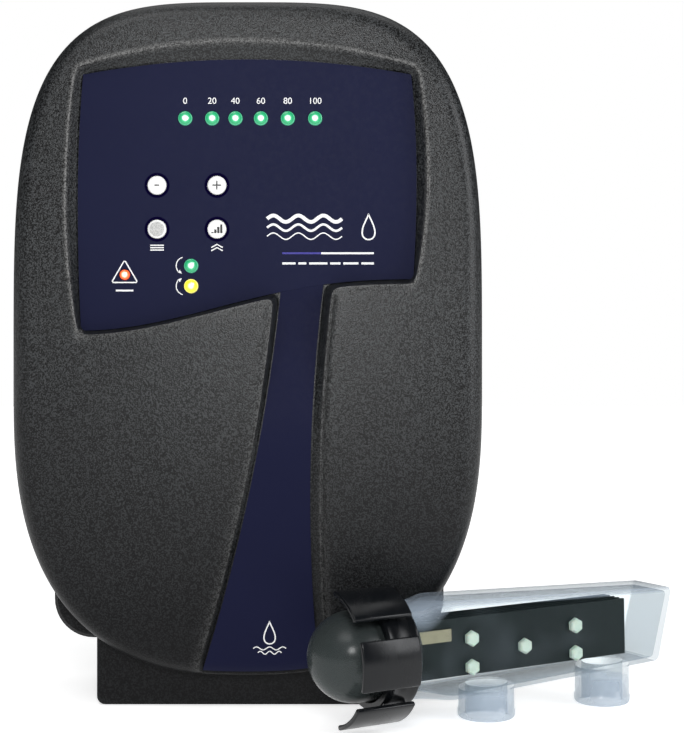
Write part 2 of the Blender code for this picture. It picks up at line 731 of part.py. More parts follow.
def heat_sink(back):
    """Extruded comb, its flat base against the case's back wall."""
    pitch = 2 * SINK_HALF_W / (FIN_COUNT - 0.5)
    comb = [(-SINK_HALF_W, 0), (SINK_HALF_W, 0)]
    for i in range(FIN_COUNT):
        right = SINK_HALF_W - i * pitch
        comb += [(right, FIN_TIP), (right - FIN_THICK, FIN_TIP)]
        if i < FIN_COUNT - 1:
            comb += [(right - FIN_THICK, FIN_ROOT), (right - pitch, FIN_ROOT)]
    outline = [(u * MM, v * MM) for u, v in comb]
    lay = Matrix.Translation((0, back, HEAT_SINK_Z)) @ Matrix.Rotation(math.pi, 4, "X")
    alu = material("heat_sink_aluminium", (0.7, 0.7, 0.72), 0.35, 1.0)
    plate("heat_sink", outline, HEAT_SINK_HEIGHT, alu, lay)


def power_electronics():
    """Power board with its terminal block and fuse, transformer and heat sink."""
    back = CASE_BACK_Y - CASE_WALL - GAP
    transformer(back)
    heat_sink(back)
    board_y = back - POWER_BOARD_GAP
    left, foot, right, top = POWER_BOARD
    box("power_board", (left, board_y, foot), (right, board_y + BOARD_THICK, top), board_material())
    green = material("terminal_green", (0.05, 0.3, 0.12), 0.5)
    box("terminal_block", (-70 * MM, board_y - 16 * MM - GAP, 176 * MM),
        (-6 * MM, board_y - GAP, 190 * MM), green, 1 * MM)
    black = material("fuse_black", (0.02, 0.02, 0.02), 0.4)
    box("fuse_holder", (20 * MM, board_y - 14 * MM - GAP, 178 * MM),
        (48 * MM, board_y - GAP, 188 * MM), black, 1.5 * MM)


def wall_bracket():
    """Flat hanging plate on the back, with two slots for the wall screws."""
    outline = rounded_rectangle(*BRACKET, 8 * MM)
    half = WALL_SLOT_HALF_W
    slots = []
    for x in WALL_SLOTS:
        slots.append(rounded_rectangle(x - half, WALL_SLOT_LOW, x + half, WALL_SLOT_TOP, 2.99 * MM))
    y = CASE_BACK_Y + GAP + BRACKET_THICK / 2
    return plate("wall_bracket", outline, BRACKET_THICK, steel(), facing_front(y), slots)


# ------------------------------------------------------------------ the cell
def empty(name, place):
    frame = bpy.data.objects.new(name, None)
    PARTS.objects.link(frame)
    frame.matrix_world = place
    bpy.context.view_layer.update()
    return frame


def cell_frames():
    """The cell's frame at the nut's centre, +X along its axis, and one level on the floor."""
    yaw = Matrix.Rotation(CELL_YAW, 4, "Z")
    pitch = Matrix.Rotation(-CELL_PITCH, 4, "Y")
    on_floor = Matrix.Translation((CELL_POS.x, CELL_POS.y, 0.0))
    return (empty("cell_frame", Matrix.Translation(CELL_POS) @ yaw @ pitch),
            empty("port_frame", on_floor @ yaw))


def section(s_top, s_low, half_w, high, low, corner, steps=6):
    """A rounded rectangle across the cell's axis; the end may be raked."""
    points = rounded_rectangle(-half_w, low, half_w, high, corner, steps)
    ring = []
    for y, z in points:
        t = (z - low) / (high - low)
        ring.append((s_low + (s_top - s_low) * t, y, z))
    return ring


def housing_sections(wall):
    """Round neck, then a tapered box with a raked far end."""
    neck = NECK_R if wall == 0 else NECK_BORE_R
    start = -1.1 * MM if wall == 0 else -4 * MM
    end = HOUSING_END - wall * 1.2
    tight = 0.02 * MM
    return [
        section(start, start, neck, neck, -neck, neck - tight),
        section(14 * MM, 14 * MM, neck, neck, -neck, neck - tight),
        section(22 * MM, 22 * MM, 22.5 * MM - wall, 25 * MM - wall, -25 * MM + wall, 14 * MM - wall),
        section(31 * MM, 31 * MM, 20 * MM - wall, 25 * MM - wall, -25 * MM + wall, 6 * MM - wall),
        section(end, end - HOUSING_RAKE, 16.5 * MM - wall, 19.5 * MM - wall, -20 * MM + wall,
                3.2 * MM - wall / 2),
    ]


def cell_housing(frame, port_frame):
    """Clear housing with two upright ports whose flat rims stand on the floor."""
    housing = loft("cell_housing", housing_sections(0.0), clear_plastic(), parent=frame)
    port_top = CELL_POS.z - 9 * MM
    rim = PORT_RIM_R
    for number, s in enumerate(PORTS, 1):
        profile = [(0.0, port_top), (PORT_R, port_top), (PORT_R, rim)]
        for i in range(1, 4):
            turn = math.radians(30 * i)
            profile.append((PORT_R - rim * (1 - math.cos(turn)), rim - rim * math.sin(turn)))
        profile.append((0.0, 0.0))
        spigot = turned(f"port_{number}", profile, None, 24, cutter=True, parent=port_frame,
                        place=Matrix.Translation((s, 0, 0)))
        boolean(housing, spigot, "UNION")
    boolean(housing, loft("housing_hollow", housing_sections(HOUSING_WALL), cutter=True, parent=frame))
    for number, s in enumerate(PORTS, 1):
        bore = turned(f"port_bore_{number}", rod_profile(PORT_BORE_R, -5 * MM, port_top),
                      None, 24, cutter=True, parent=port_frame, place=Matrix.Translation((s, 0, 0)))
        boolean(housing, bore)
    return housing


def head_dome(frame):
    """Clear dome with a flange that the nut pulls against the neck."""
    outer, inner = [], []
    for i in range(7):
        turn = math.radians(90 * i / 6)
        outer.append((DOME_R * math.sin(turn), DOME_CENTRE - DOME_R * math.cos(turn)))
        thin = DOME_R - 2 * MM
        inner.append((thin * math.sin(turn), DOME_CENTRE - thin * math.cos(turn)))
    rim, step = -4.7 * MM, -7.7 * MM
    wall = DOME_R - 2 * MM
    points = [*inner, (wall, rim), (NECK_R, rim), (NECK_R, step), (DOME_R, step), *reversed(outer)]
    return turned("head_dome", points, clear_plastic(), 24, parent=frame, place=along_x(0))


def electrode_carrier(frame):
    """Plug that closes the housing, with a groove for the seal."""
    plug = 20.6 * MM
    profile = [(0.0, 9.2 * MM), (plug, 9.2 * MM), (plug, 5.2 * MM), (18.9 * MM, 5.2 * MM),
               (18.9 * MM, 2.8 * MM), (plug, 2.8 * MM), (plug, -1.4 * MM), (NECK_R, -1.4 * MM),
               (NECK_R, -4.4 * MM), (0.0, -4.4 * MM)]
    look = material("carrier_grey", (0.03, 0.035, 0.04), 0.4)
    carrier = turned("electrode_carrier", profile, look, 28, parent=frame, place=along_x(0))
    seal = material("seal_rubber", (0.02, 0.02, 0.02), 0.7)
    turned("head_seal", ring_profile(20.75 * MM, 19.2 * MM, 3.1 * MM, 4.9 * MM), seal, 28,
           parent=frame, place=along_x(0))
    return carrier


def terminal_posts(frame):
    titanium = material("titanium", (0.5, 0.48, 0.44), 0.35, 1.0)
    for number, y in enumerate((-8 * MM, 8 * MM), 1):
        profile = [(0.0, -4.7 * MM), (4.5 * MM, -4.7 * MM), (4.5 * MM, -7.5 * MM),
                   (2.2 * MM, -7.5 * MM), (2.2 * MM, -17 * MM), (0.0, -17 * MM)]
        turned(f"terminal_post_{number}", profile, titanium, 16, parent=frame,
               place=along_x(0, y, 0))


def lug_piece(name, outline, start, end, frame):
    """One part of a grip lug: an outline across the cell's axis, from start to end."""
    piece = plate(name, outline, end - start, None, Matrix.Identity(4), cutter=True)
    piece.parent = frame
    piece.matrix_local = along_x((start + end) / 2)
    return piece


def union_nut(frame):
    """Ring with T-shaped grip lugs whose caps reach past the dome's side."""
    thread = NECK_R + 0.4 * MM
    lip, lip_end = DOME_R + 0.5 * MM, -8 * MM
    profile = [(NUT_R, NUT_BACK), (NUT_R, NUT_FRONT), (lip, NUT_FRONT), (lip, lip_end),
               (thread, lip_end), (thread, NUT_BACK)]
    nut = turned("union_nut", profile, nut_plastic(), 36, parent=frame, place=along_x(0))
    inner = LUG_R - LUG_CAP_THICK
    for number, degrees in enumerate(LUG_TURNS):
        turn = math.radians(degrees)
        arc = [turn + LUG_HALF_ANGLE * (-1 + i / 3) for i in range(7)]
        cap = [(LUG_R * math.cos(a), LUG_R * math.sin(a)) for a in arc]
        cap += [(inner * math.cos(a), inner * math.sin(a)) for a in reversed(arc)]
        boolean(nut, lug_piece(f"lug_cap_{number}", cap, LUG_START, LUG_END, frame), "UNION")
        spin = Matrix.Rotation(turn, 2)
        low, high, half = NUT_R - 1 * MM, LUG_R - 1.3 * MM, LUG_WEB_HALF
        corners = ((low, -half), (high, -half), (high, half), (low, half))
        web = [tuple(spin @ Vector(corner)) for corner in corners]
        boolean(nut, lug_piece(f"lug_web_{number}", web, NUT_FRONT + 0.5 * MM, LUG_END - 0.5 * MM, frame),
                "UNION")
    return nut


def electrode_stack(frame):
    """Coated titanium plates, held apart by five nylon bolts."""
    coated = material("electrode_coating", (0.03, 0.045, 0.05), 0.45)
    nylon = material("bolt_nylon", (0.75, 0.8, 0.75), 0.45)
    drills = []
    for s, z in STACK_BOLTS:
        place = frame.matrix_world @ along_y(s * MM, 0, z * MM)
        drills.append(turned("drill", rod_profile(2.4 * MM, -30 * MM, 30 * MM), None, 10, cutter=True,
                             place=place))
    holes = joined("plate_drills", drills)
    for number in range(PLATE_COUNT):
        y = (number - (PLATE_COUNT - 1) / 2) * PLATE_PITCH
        half = PLATE_THICK / 2
        leaf = box(f"electrode_plate_{number + 1}", (PLATE_START, y - half, PLATE_LOW),
                   (PLATE_END, y + half, PLATE_HIGH), coated, parent=frame)
        boolean(leaf, holes)
    side = (PLATE_COUNT - 1) / 2 * PLATE_PITCH + PLATE_THICK / 2 + GAP
    hexagon, shank, thick = 4.1 * MM, 2 * MM, 2.8 * MM
    for number, (s, z) in enumerate(STACK_BOLTS, 1):
        profile = [(0.0, side + thick), (hexagon, side + thick), (hexagon, side), (shank, side),
                   (shank, -side), (hexagon, -side), (hexagon, -side - thick), (0.0, -side - thick)]
        turned(f"stack_bolt_{number}", profile, nylon, 6, parent=frame,
               place=along_y(s * MM, 0, z * MM))
    tab_look = material("contact_titanium", (0.35, 0.32, 0.24), 0.4, 0.6)
    box("contact_tab", (9.7 * MM, -side - 0.9 * MM, 3.6 * MM), (31.8 * MM, -side, 9.8 * MM), tab_look,
        parent=frame)


def main():
    front_cover()
    display_overlay()
    stripe_inlay()
    led_lenses()
    stem_y = panel_keys()
    control_electronics(stem_y)
    cover_gasket()
    rear_case()
    cable_glands()
    cover_screws()
    power_electronics()
    wall_bracket()
    frame, port_frame = cell_frames()
    cell_housing(frame, port_frame)
    head_dome(frame)
    electrode_carrier(frame)
    terminal_posts(frame)
    union_nut(frame)
    electrode_stack(frame)
    for piece in PARTS.objects:
        if piece.type == "MESH":
            smooth(piece)


main()
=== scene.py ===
import json
import math

import bmesh
import bpy
import numpy as np
from mathutils import Matrix, Vector
from mathutils.geometry import delaunay_2d_cdt


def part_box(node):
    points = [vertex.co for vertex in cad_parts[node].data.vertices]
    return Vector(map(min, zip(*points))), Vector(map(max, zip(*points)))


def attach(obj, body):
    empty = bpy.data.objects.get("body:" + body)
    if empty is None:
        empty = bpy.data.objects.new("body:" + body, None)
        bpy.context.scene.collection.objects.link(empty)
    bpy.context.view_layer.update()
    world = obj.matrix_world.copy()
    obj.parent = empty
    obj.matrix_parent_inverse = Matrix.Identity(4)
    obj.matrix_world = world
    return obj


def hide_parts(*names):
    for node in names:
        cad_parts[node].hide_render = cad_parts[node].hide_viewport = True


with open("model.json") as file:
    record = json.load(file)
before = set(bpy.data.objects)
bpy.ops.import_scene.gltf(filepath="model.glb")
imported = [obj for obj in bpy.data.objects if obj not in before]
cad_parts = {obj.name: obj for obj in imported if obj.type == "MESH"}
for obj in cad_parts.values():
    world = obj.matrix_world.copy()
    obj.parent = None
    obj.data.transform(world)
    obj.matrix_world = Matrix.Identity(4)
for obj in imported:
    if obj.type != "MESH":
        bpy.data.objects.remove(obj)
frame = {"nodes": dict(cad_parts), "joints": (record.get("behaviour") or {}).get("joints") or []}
NODES = frame["nodes"]
JOINTS = {joint["name"]: joint for joint in frame["joints"]}
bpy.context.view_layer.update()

MM = 0.001
GAP = 0.3                               # clearance between pieces, in millimetres
KEY_NAMES = ("minus", "plus", "shutter", "boost")
SWITCH_NODES = [f"switch_{key}" for key in KEY_NAMES]

# ------------------------------------------------------------ controller sizes
SPLIT_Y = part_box("front_cover")[1].y    # plane between the cover and the rear case
COVER_HALF_W = 124.5 * MM
TOP_CENTRE_Z, TOP_REACH, TOP_POWER = 186.4 * MM, 188.8 * MM, 3.67
LOW_CENTRE_Z, LOW_REACH, LOW_POWER = 165.1 * MM, 147.3 * MM, 2.6
COVER_SIDE = 5 * MM
COVER_EDGE_R = 10 * MM
COVER_BULGE = 8 * MM
BULGE_POWER = 2.2
COVER_WALL = 2.2 * MM
OUTLINE_STEPS = 300

FILM_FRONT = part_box("display_overlay")[0].y
PANEL_FLOOR_Y = FILM_FRONT + 1.1 * MM
FILM_THICK = 0.6 * MM
STRIPE_RAISE = 1.1 * MM                 # the stripe's face above the channel's floor
# half widths at the top, the middle and the foot, then heights, in millimetres
PANEL_FLOOR = dict(top=86.5, mid=89.3, low=87.6, crown=343.6, top_z=335.6,
                   foot_left=200.6, foot_right=227.7)
PANEL_MOUTH = dict(top=89.8, mid=94.6, low=88.0, crown=352.3, top_z=338.8,
                   foot_left=198.2, foot_right=224.8)
WAVE_POWER = 1.2
CHANNEL_DEPTH = 3 * MM
CHANNEL_RAMP = 84 * MM                  # length over which the channel meets the panel
CHANNEL_LEFT_WALL = 3.0 * MM
CHANNEL_RIGHT_WALL = 5.0 * MM
STRIPE_FOOT = 2.8 * MM                  # the stripe ends this far above the cover's edge
BEAD_WIDTH = 2.1 * MM
BEAD_HEIGHT = 0.4 * MM
SHOULDER_DROP = 1.0 * MM
SHOULDER_REACH = 3 * MM
GROOVE_FROM_STRIPE = 6.4 * MM
GROOVE_HALF = 0.7 * MM
GROOVE_DEPTH = 0.8 * MM

CASE_BACK_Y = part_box("rear_case")[1].y
CASE_HALF_W = 102.7 * MM
CASE_FOOT_Z = 37.8 * MM
CASE_TOP_Z = 345 * MM
CASE_CORNER = 19 * MM
FOOT_HALF_W = 81.8 * MM
FOOT_BACK_Y = SPLIT_Y + 66 * MM
FOOT_TOP_Z = 70 * MM
FLANGE_FRONT_Y = SPLIT_Y + 2.3 * MM
FLANGE_INSET = 0.8 * MM
FLANGE_THICK = 3 * MM
CASE_WALL = 3 * MM

OUTPUT_LEDS = [f"output_led_{i}" for i in range(1, 7)]
LED_NODES = OUTPUT_LEDS + ["alarm_led", "polarity_led_forward", "polarity_led_reverse"]
LED_R = 3.7 * MM
KEY_R = 4.95                            # millimetres
INK_RAISE = 0.04 * MM
INK_THICK = 0.03 * MM
ACCENT_START, ACCENT_END = 18.5, 39     # millimetres

# --------------------------------------------------- cell sizes in millimetres
NUT_JOINT = JOINTS["union_nut_turn"]
CELL_AXIS = -Vector(NUT_JOINT["axis"])
CELL_POS = Vector(NUT_JOINT["pos_m"])   # metres
CELL_HEADING = Vector((CELL_AXIS.x, CELL_AXIS.y, 0)).normalized()
NECK_R, NECK_BORE_R, NECK_END = 25, 21, 12.5
NUT_R, NUT_FRONT, NUT_BACK = 27.6, -13, 4.5
NUT_MOUTH_R, NUT_THREAD_R = 23.2, 25.4
LUG_R, LUG_CAP_THICK, LUG_WEB_HALF = 34.5, 2.6, 4
LUG_TURNS = (208, 268, 328)             # degrees from the nut's lowest line
LUG_HALF_ANGLE = math.radians(21)
LUG_START, LUG_END, LUG_EDGE = -32, 0.0, 0.8
DOME_R, DOME_WALL, DOME_CENTRE = 22.7, 2, -19.6
PLUG_R, SEAL_GROOVE_R = 20.6, 18.9
HOUSING_WALL = 2
BOX_START, HOUSING_END, HOUSING_RAKE = 31, 169.5, 10
# half width, top, underside and corner radius
HOUSING_NEAR = (20, 25, -25, 6)
HOUSING_FAR = (16.5, 19.5, -20, 3.2)
FAR_EDGE = 1.2
PORTS = (59.2, 134)
PORT_R, PORT_BORE_R, PORT_RIM_R = 14.5, 11, 2
PORT_TOP = 19 * MM                      # metres
STACK_BOLTS = ((44, 3.7), (44, -10.9), (76.5, -3.6), (109, 3.7), (109, -10.9))
STACK_HALF = 8.8


# ---------------------------------------------------------------- mesh helpers
def quarter_turn(steps):
    """Sine and cosine at equal steps from 0 to 90 degrees."""
    turns = [math.radians(90 * k / steps) for k in range(steps + 1)]
    return [(math.sin(t), math.cos(t)) for t in turns]


def soften(mesh, angle):
    """Smooth shading that keeps the edges sharper than angle."""
    mesh.shade_smooth()
    mesh.set_sharp_from_angle(angle=math.radians(angle))


def add_mesh(name, bm, look, angle=40):
    bmesh.ops.recalc_face_normals(bm, faces=bm.faces)
    mesh = bpy.data.meshes.new(name)
    bm.to_mesh(mesh)
    bm.free()
    mesh.materials.append(look)
    soften(mesh, angle)
    piece = bpy.data.objects.new(name, mesh)
    bpy.context.scene.collection.objects.link(piece)
    return piece


def settle(piece, body, slot, *nodes):
    """Joins a finished piece to its body and hides the nodes that it shows; slot is not used."""
    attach(piece, body)
    if nodes:
        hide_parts(*nodes)


def apply_modifiers(piece):
    graph = bpy.context.evaluated_depsgraph_get()
    mesh = bpy.data.meshes.new_from_object(piece.evaluated_get(graph))
    piece.modifiers.clear()
    piece.data = mesh


def solidify(piece, thickness):
    thick = piece.modifiers.new("thickness", "SOLIDIFY")
    thick.thickness = thickness
    thick.offset = -1.0
    apply_modifiers(piece)
    piece.data.set_sharp_from_angle(angle=math.radians(40))


def bevel(piece, width):
    edge = piece.modifiers.new("edges", "BEVEL")
    edge.width = width
    edge.segments = 2
    edge.limit_method = "ANGLE"
    edge.angle_limit = math.radians(35)
    edge.harden_normals = True
    apply_modifiers(piece)


def boolean(piece, other, operation):
    cut = piece.modifiers.new(operation, "BOOLEAN")
    cut.operation = operation
    cut.solver = "EXACT"
    cut.object = other
    bpy.context.view_layer.update()
    apply_modifiers(piece)
    bpy.data.objects.remove(other)


def skin_rings(bm, rings, closed=True, capped=False):
    """Joins rings of equal length with quads."""
    count = len(rings[0])
    made = [[bm.verts.new(point) for point in ring] for ring in rings]
    around = count if closed else count - 1
    for one, two in zip(made, made[1:]):
        for i in range(around):
            j = (i + 1) % count
            bm.faces.new((one[i], one[j], two[j], two[i]))
    if capped:
        bm.faces.new(made[0])
        bm.faces.new(made[-1])
    return made


def loft(name, rings, look):
    bm = bmesh.new()
    skin_rings(bm, rings, capped=True)
    return add_mesh(name, bm, look)


def lathe(name, profile, look, place, steps=48, ripple=None, angle=40):
    """Spins (radius, height) points, in millimetres, about Z; ripple(angle, height) scales the radius."""
    bm = bmesh.new()
    closed_ring = profile[0][0] > 0 and profile[-1][0] > 0
    points = list(profile) + ([profile[0]] if closed_ring else [])
    columns = []
    for i in range(steps):
        turn = 2 * math.pi * i / steps
        column = []
        for r, h in points:
            radius = r * MM * (ripple(turn, h) if ripple else 1.0)
            column.append(bm.verts.new((radius * math.cos(turn), radius * math.sin(turn), h * MM)))
        columns.append(column)
    for i in range(steps):
        one, two = columns[i], columns[(i + 1) % steps]
        for k in range(len(points) - 1):
            bm.faces.new((one[k], two[k], two[k + 1], one[k + 1]))
    bmesh.ops.remove_doubles(bm, verts=bm.verts, dist=1e-7)
    piece = add_mesh(name, bm, look, angle)
    piece.data.transform(place)
    if place.is_negative:
        piece.data.flip_normals()
    return piece


def along_y(x, y, z):
    return Matrix.Translation((x, y, z)) @ Matrix.Rotation(math.radians(-90), 4, "X")


def cell_frame():
    """The cell's frame: origin at the nut's middle, +X along the cell, +Z nearly up."""
    x_axis = CELL_AXIS.normalized()
    y_axis = Vector((0, 0, 1)).cross(x_axis).normalized()
    z_axis = x_axis.cross(y_axis)
    turn = Matrix((x_axis, y_axis, z_axis)).transposed().to_4x4()
    return Matrix.Translation(CELL_POS) @ turn


CELL = cell_frame()


def cell_point(s, y, z):
    """A point of the cell's frame, given in millimetres."""
    return CELL @ Vector((s * MM, y * MM, z * MM))


def cell_x(y=0.0):
    """Lays a turned shape's axis along the cell, y millimetres from its middle."""
    return CELL @ Matrix.Translation((0, y * MM, 0)) @ Matrix.Rotation(math.radians(90), 4, "Y")


def cell_y(s, z):
    """Lays a turned shape's axis across the cell, at s and z millimetres."""
    return CELL @ along_y(s * MM, 0, z * MM)


def circle_loop(x, z, radius, steps=40):
    turn = 2 * math.pi / steps
    return [(x + radius * math.cos(i * turn), z + radius * math.sin(i * turn)) for i in range(steps)]


def rounded_rectangle(low_u, low_v, high_u, high_v, radius, steps=6):
    corners = ((high_u - radius, high_v - radius, 0), (low_u + radius, high_v - radius, 90),
               (low_u + radius, low_v + radius, 180), (high_u - radius, low_v + radius, 270))
    points = []
    for u, v, start in corners:
        for i in range(steps + 1):
            turn = math.radians(start + 90 * i / steps)
            points.append((u + radius * math.cos(turn), v + radius * math.sin(turn)))
    return points


def inside(loop, points):
    """Which of the points lie inside a closed loop."""
    loop = np.array(loop)
    x, z = points[:, 0][:, None], points[:, 1][:, None]
    x1, z1 = loop[:, 0][None], loop[:, 1][None]
    x2, z2 = np.roll(loop[:, 0], -1)[None], np.roll(loop[:, 1], -1)[None]
    crosses = (z1 > z) != (z2 > z)
    drop = np.where(z2 == z1, 1e-12, z2 - z1)
    at = (x2 - x1) * (z - z1) / drop + x1
    return (crosses & (x < at)).sum(1) % 2 == 1


def distance_to(loop, points):
    """Distance from each point to a closed loop, and which of its segments is nearest."""
    loop = np.array(loop)
    best = np.full(len(points), 1e9)
    nearest = np.zeros(len(points), int)
    for k, (a, b) in enumerate(zip(loop, np.roll(loop, -1, 0))):
        run = b - a
        t = np.clip(((points - a) @ run) / max(run @ run, 1e-18), 0, 1)
        gap = np.hypot(*(points - a - t[:, None] * run).T)
        closer = gap < best
        best[closer] = gap[closer]
        nearest[closer] = k
    return best, nearest


def region_mask(points, outer, holes):
    """Which of the points lie inside outer and outside every hole."""
    keep = inside(outer, points)
    for hole in holes:
        keep &= ~inside(hole, points)
    return keep


def staggered_grid(outer, spacing):
    low, high = np.array(outer).min(0), np.array(outer).max(0)
    rows = np.arange(low[1], high[1], spacing * 0.87)
    return np.array([(x + (spacing / 2 if k % 2 else 0), z)
                     for k, z in enumerate(rows) for x in np.arange(low[0], high[0], spacing)])


def away_from(points, fixed, least):
    """The points that are at least a distance away from every fixed one."""
    nearest = np.full(len(points), 1e9)
    for start in range(0, len(fixed), 400):
        part = fixed[start:start + 400]
        gap = np.hypot(points[:, 0][:, None] - part[:, 0], points[:, 1][:, None] - part[:, 1]).min(1)
        nearest = np.minimum(nearest, gap)
    return points[nearest > least]


def triangulated(outer, holes, spacing, lines=()):
    """A plane region as points and triangles: loops and lines are kept as edges."""
    verts, edges = [], []
    for line, closed in [(outer, True), *((h, True) for h in holes), *((line, False) for line in lines)]:
        start = len(verts)
        verts += [tuple(p) for p in line]
        edges += [(start + i, start + i + 1) for i in range(len(line) - 1)]
        if closed:
            edges.append((start + len(line) - 1, start))
    grid = staggered_grid(outer, spacing)
    grid = grid[region_mask(grid, outer, holes)]
    verts += [tuple(p) for p in away_from(grid, np.array(verts), spacing * 0.45)]
    found = delaunay_2d_cdt([Vector((x / MM, z / MM)) for x, z in verts], edges, [], 0, 1e-5)
    points = np.array([(v.x * MM, v.y * MM) for v in found[0]])
    faces = np.array([f for f in found[2] if len(f) == 3])
    return points, faces[region_mask(points[faces].mean(1), outer, holes)]


def add_sheet(bm, points, faces, y, mask=None):
    """Adds a triangulated region to bm, at depth y; mask, the painted highlight, goes to the edge highlight
    layer.
    """
    layer = bm.verts.layers.float.get("painted_edge_highlight") or bm.verts.layers.float.new("painted_edge_highlight")
    made = {}
    for i in np.unique(faces):
        made[i] = bm.verts.new((points[i, 0], y[i], points[i, 1]))
        made[i][layer] = float(mask[i]) if mask is not None else 0.0
    for a, b, c in faces:
        bm.faces.new((made[a], made[b], made[c]))


# --------------------------------------------------------------- cover surface
def outline_x_z(angle):
    cos, sin = math.cos(angle), math.sin(angle)
    if sin >= 0:
        centre, reach, order = TOP_CENTRE_Z, TOP_REACH, TOP_POWER
    else:
        centre, reach, order = LOW_CENTRE_Z, LOW_REACH, LOW_POWER
    x = COVER_HALF_W * math.copysign(abs(cos) ** (2 / order), cos)
    z = centre + reach * math.copysign(abs(sin) ** (2 / order), sin)
    return x, z, centre


def even_angles(count):
    """Angles that space the outline's points evenly along it."""
    fine = np.linspace(0, 2 * math.pi, 6001)
    places = np.array([outline_x_z(a)[:2] for a in fine])
    run = np.concatenate([[0], np.cumsum(np.hypot(*np.diff(places, axis=0).T))])
    return np.interp(np.arange(count) * run[-1] / count, run, fine)


EVEN = even_angles(OUTLINE_STEPS)


def outline_ring(inset):
    points = []
    for angle in EVEN:
        x, z, centre = outline_x_z(angle)
        keep = 1 - inset / math.hypot(x, z - centre)
        points.append((x * keep, centre + (z - centre) * keep))
    return points


def ratio_and_inset(x, z):
    """0 at the cover's middle and 1 on its outline; and the distance in from the outline."""
    upper, lower = z >= TOP_CENTRE_Z, z <= LOW_CENTRE_Z
    up = np.where(upper, z - TOP_CENTRE_Z, np.where(lower, LOW_CENTRE_Z - z, 0.0))
    reach = np.where(upper, TOP_REACH, LOW_REACH)
    order = np.where(upper, TOP_POWER, LOW_POWER)
    ratio = ((np.abs(x) / COVER_HALF_W) ** order + (up / reach) ** order) ** (1 / order)
    ratio = np.clip(ratio, 0.01, 1.0)
    length = np.hypot(x, z - np.clip(z, LOW_CENTRE_Z, TOP_CENTRE_Z))
    return ratio, length * (1 / ratio - 1)


def skin_height(x, z):
    """Height of the cover's face in front of the split plane."""
    x, z = np.asarray(x, float), np.asarray(z, float)
    ratio, inset = ratio_and_inset(x, z)
    short = np.clip(COVER_EDGE_R - inset, 0, COVER_EDGE_R)
    rounded = np.sqrt(COVER_EDGE_R ** 2 - short ** 2)
    return COVER_SIDE + rounded + COVER_BULGE * (1 - ratio ** BULGE_POWER)


def smoothstep(t):
    t = np.clip(t, 0, 1)
    return t * t * (3 - 2 * t)


def wave_z(x, shape):
    """The panel's waved foot at x."""
    t = np.clip((shape["low"] * MM - x) / (2 * shape["low"] * MM), 0, 1)
    rise = 0.5 + 0.5 * np.cos(math.pi * t ** WAVE_POWER)
    return (shape["foot_left"] + (shape["foot_right"] - shape["foot_left"]) * rise) * MM


def stripe_left(z):
    return (-30.6 + 0.345 * (z / MM) - 0.000575 * (z / MM) ** 2) * MM


def stripe_right(z):
    return (33.4 + 0.00053 * (z / MM - 112) ** 2) * MM


def cover_foot_z(x):
    return LOW_CENTRE_Z - LOW_REACH * (1 - (np.abs(x) / COVER_HALF_W) ** LOW_POWER) ** (1 / LOW_POWER)


def meeting_z(side, grow, shape):
    """Height where a side of the channel meets the waved foot."""
    z = 220 * MM
    for _ in range(12):
        z = float(wave_z(side(z) + grow, shape))
    return z


def panel_top(shape, count):
    t = np.linspace(-1, 1, count)
    return [(shape["top"] * MM * k, (shape["crown"] - (shape["crown"] - shape["top_z"]) * k * k) * MM)
            for k in t]


def panel_side(shape, sign, count):
    """A side of the panel from its top corner to its foot corner."""
    foot = (shape["foot_right"] if sign > 0 else shape["foot_left"]) * MM
    top_z, points = shape["top_z"] * MM, []
    for t in np.linspace(0, 1, count):
        bow = shape["mid"] - (shape["mid"] - shape["top"]) * (1 - min(1.0, t * 2)) ** 2
        bow -= (shape["mid"] - shape["low"]) * max(0.0, t * 2 - 1) ** 2
        points.append((sign * bow * MM, top_z + (foot - top_z) * t))
    return points


def wave_run(shape, start, stop, count):
    return [(x, float(wave_z(x, shape))) for x in np.linspace(start, stop, count)]


def channel_side(side, grow, shape, foot_gap, count):
    top = meeting_z(side, grow, shape)
    foot = float(cover_foot_z(side(22 * MM) + grow)) + foot_gap
    return [(side(z) + grow, z) for z in np.linspace(top, foot, count)]


def pocket_loop(shape, left_grow, right_grow, foot_gap):
    """Edge of the recess and the channel together, clockwise from the top left corner.
    Returns the points and, for each, 1 where it runs round the recess's top and sides."""
    right = channel_side(stripe_right, right_grow, shape, foot_gap, 68)
    left = channel_side(stripe_left, -left_grow, shape, foot_gap, 68)[::-1]
    foot_x = np.linspace(right[-1][0], left[0][0], 26)
    foot = [(x, float(cover_foot_z(x)) + foot_gap) for x in foot_x]
    low = shape["low"] * MM
    runs = [
        (panel_top(shape, 62), 1.0),
        (panel_side(shape, 1, 40), 1.0),
        (wave_run(shape, low, right[0][0], 16), 0.0),
        (right, 0.0),
        (foot, 0.0),
        (left, 0.0),
        (wave_run(shape, left[-1][0], -low, 36), 0.0),
        (panel_side(shape, -1, 48)[::-1], 1.0),
    ]
    points, weights, corners = [], [], []
    for run, weight in runs:
        corners.append(len(points))
        points += run[:-1]
        weights += [weight] * (len(run) - 1)
    return round_corners(points, corners), weights


def round_corners(points, corners):
    """Rounds the corners of a loop without changing how many points it has."""
    loop = np.array(points)
    near = sorted({(corner + k) % len(loop) for corner in corners for k in range(-2, 3)})
    for _ in range(2):
        before = np.roll(loop, 1, 0)
        after = np.roll(loop, -1, 0)
        loop[near] = 0.5 * loop[near] + 0.25 * (before[near] + after[near])
    return [tuple(p) for p in loop]


def floor_height(x, z):
    """Height of the recess's and the channel's floor in front of the split plane."""
    panel = SPLIT_Y - PANEL_FLOOR_Y
    below = wave_z(x, PANEL_FLOOR) - z
    channel = skin_height(x, z) - CHANNEL_DEPTH
    return panel + (channel - panel) * smoothstep(below / CHANNEL_RAMP)


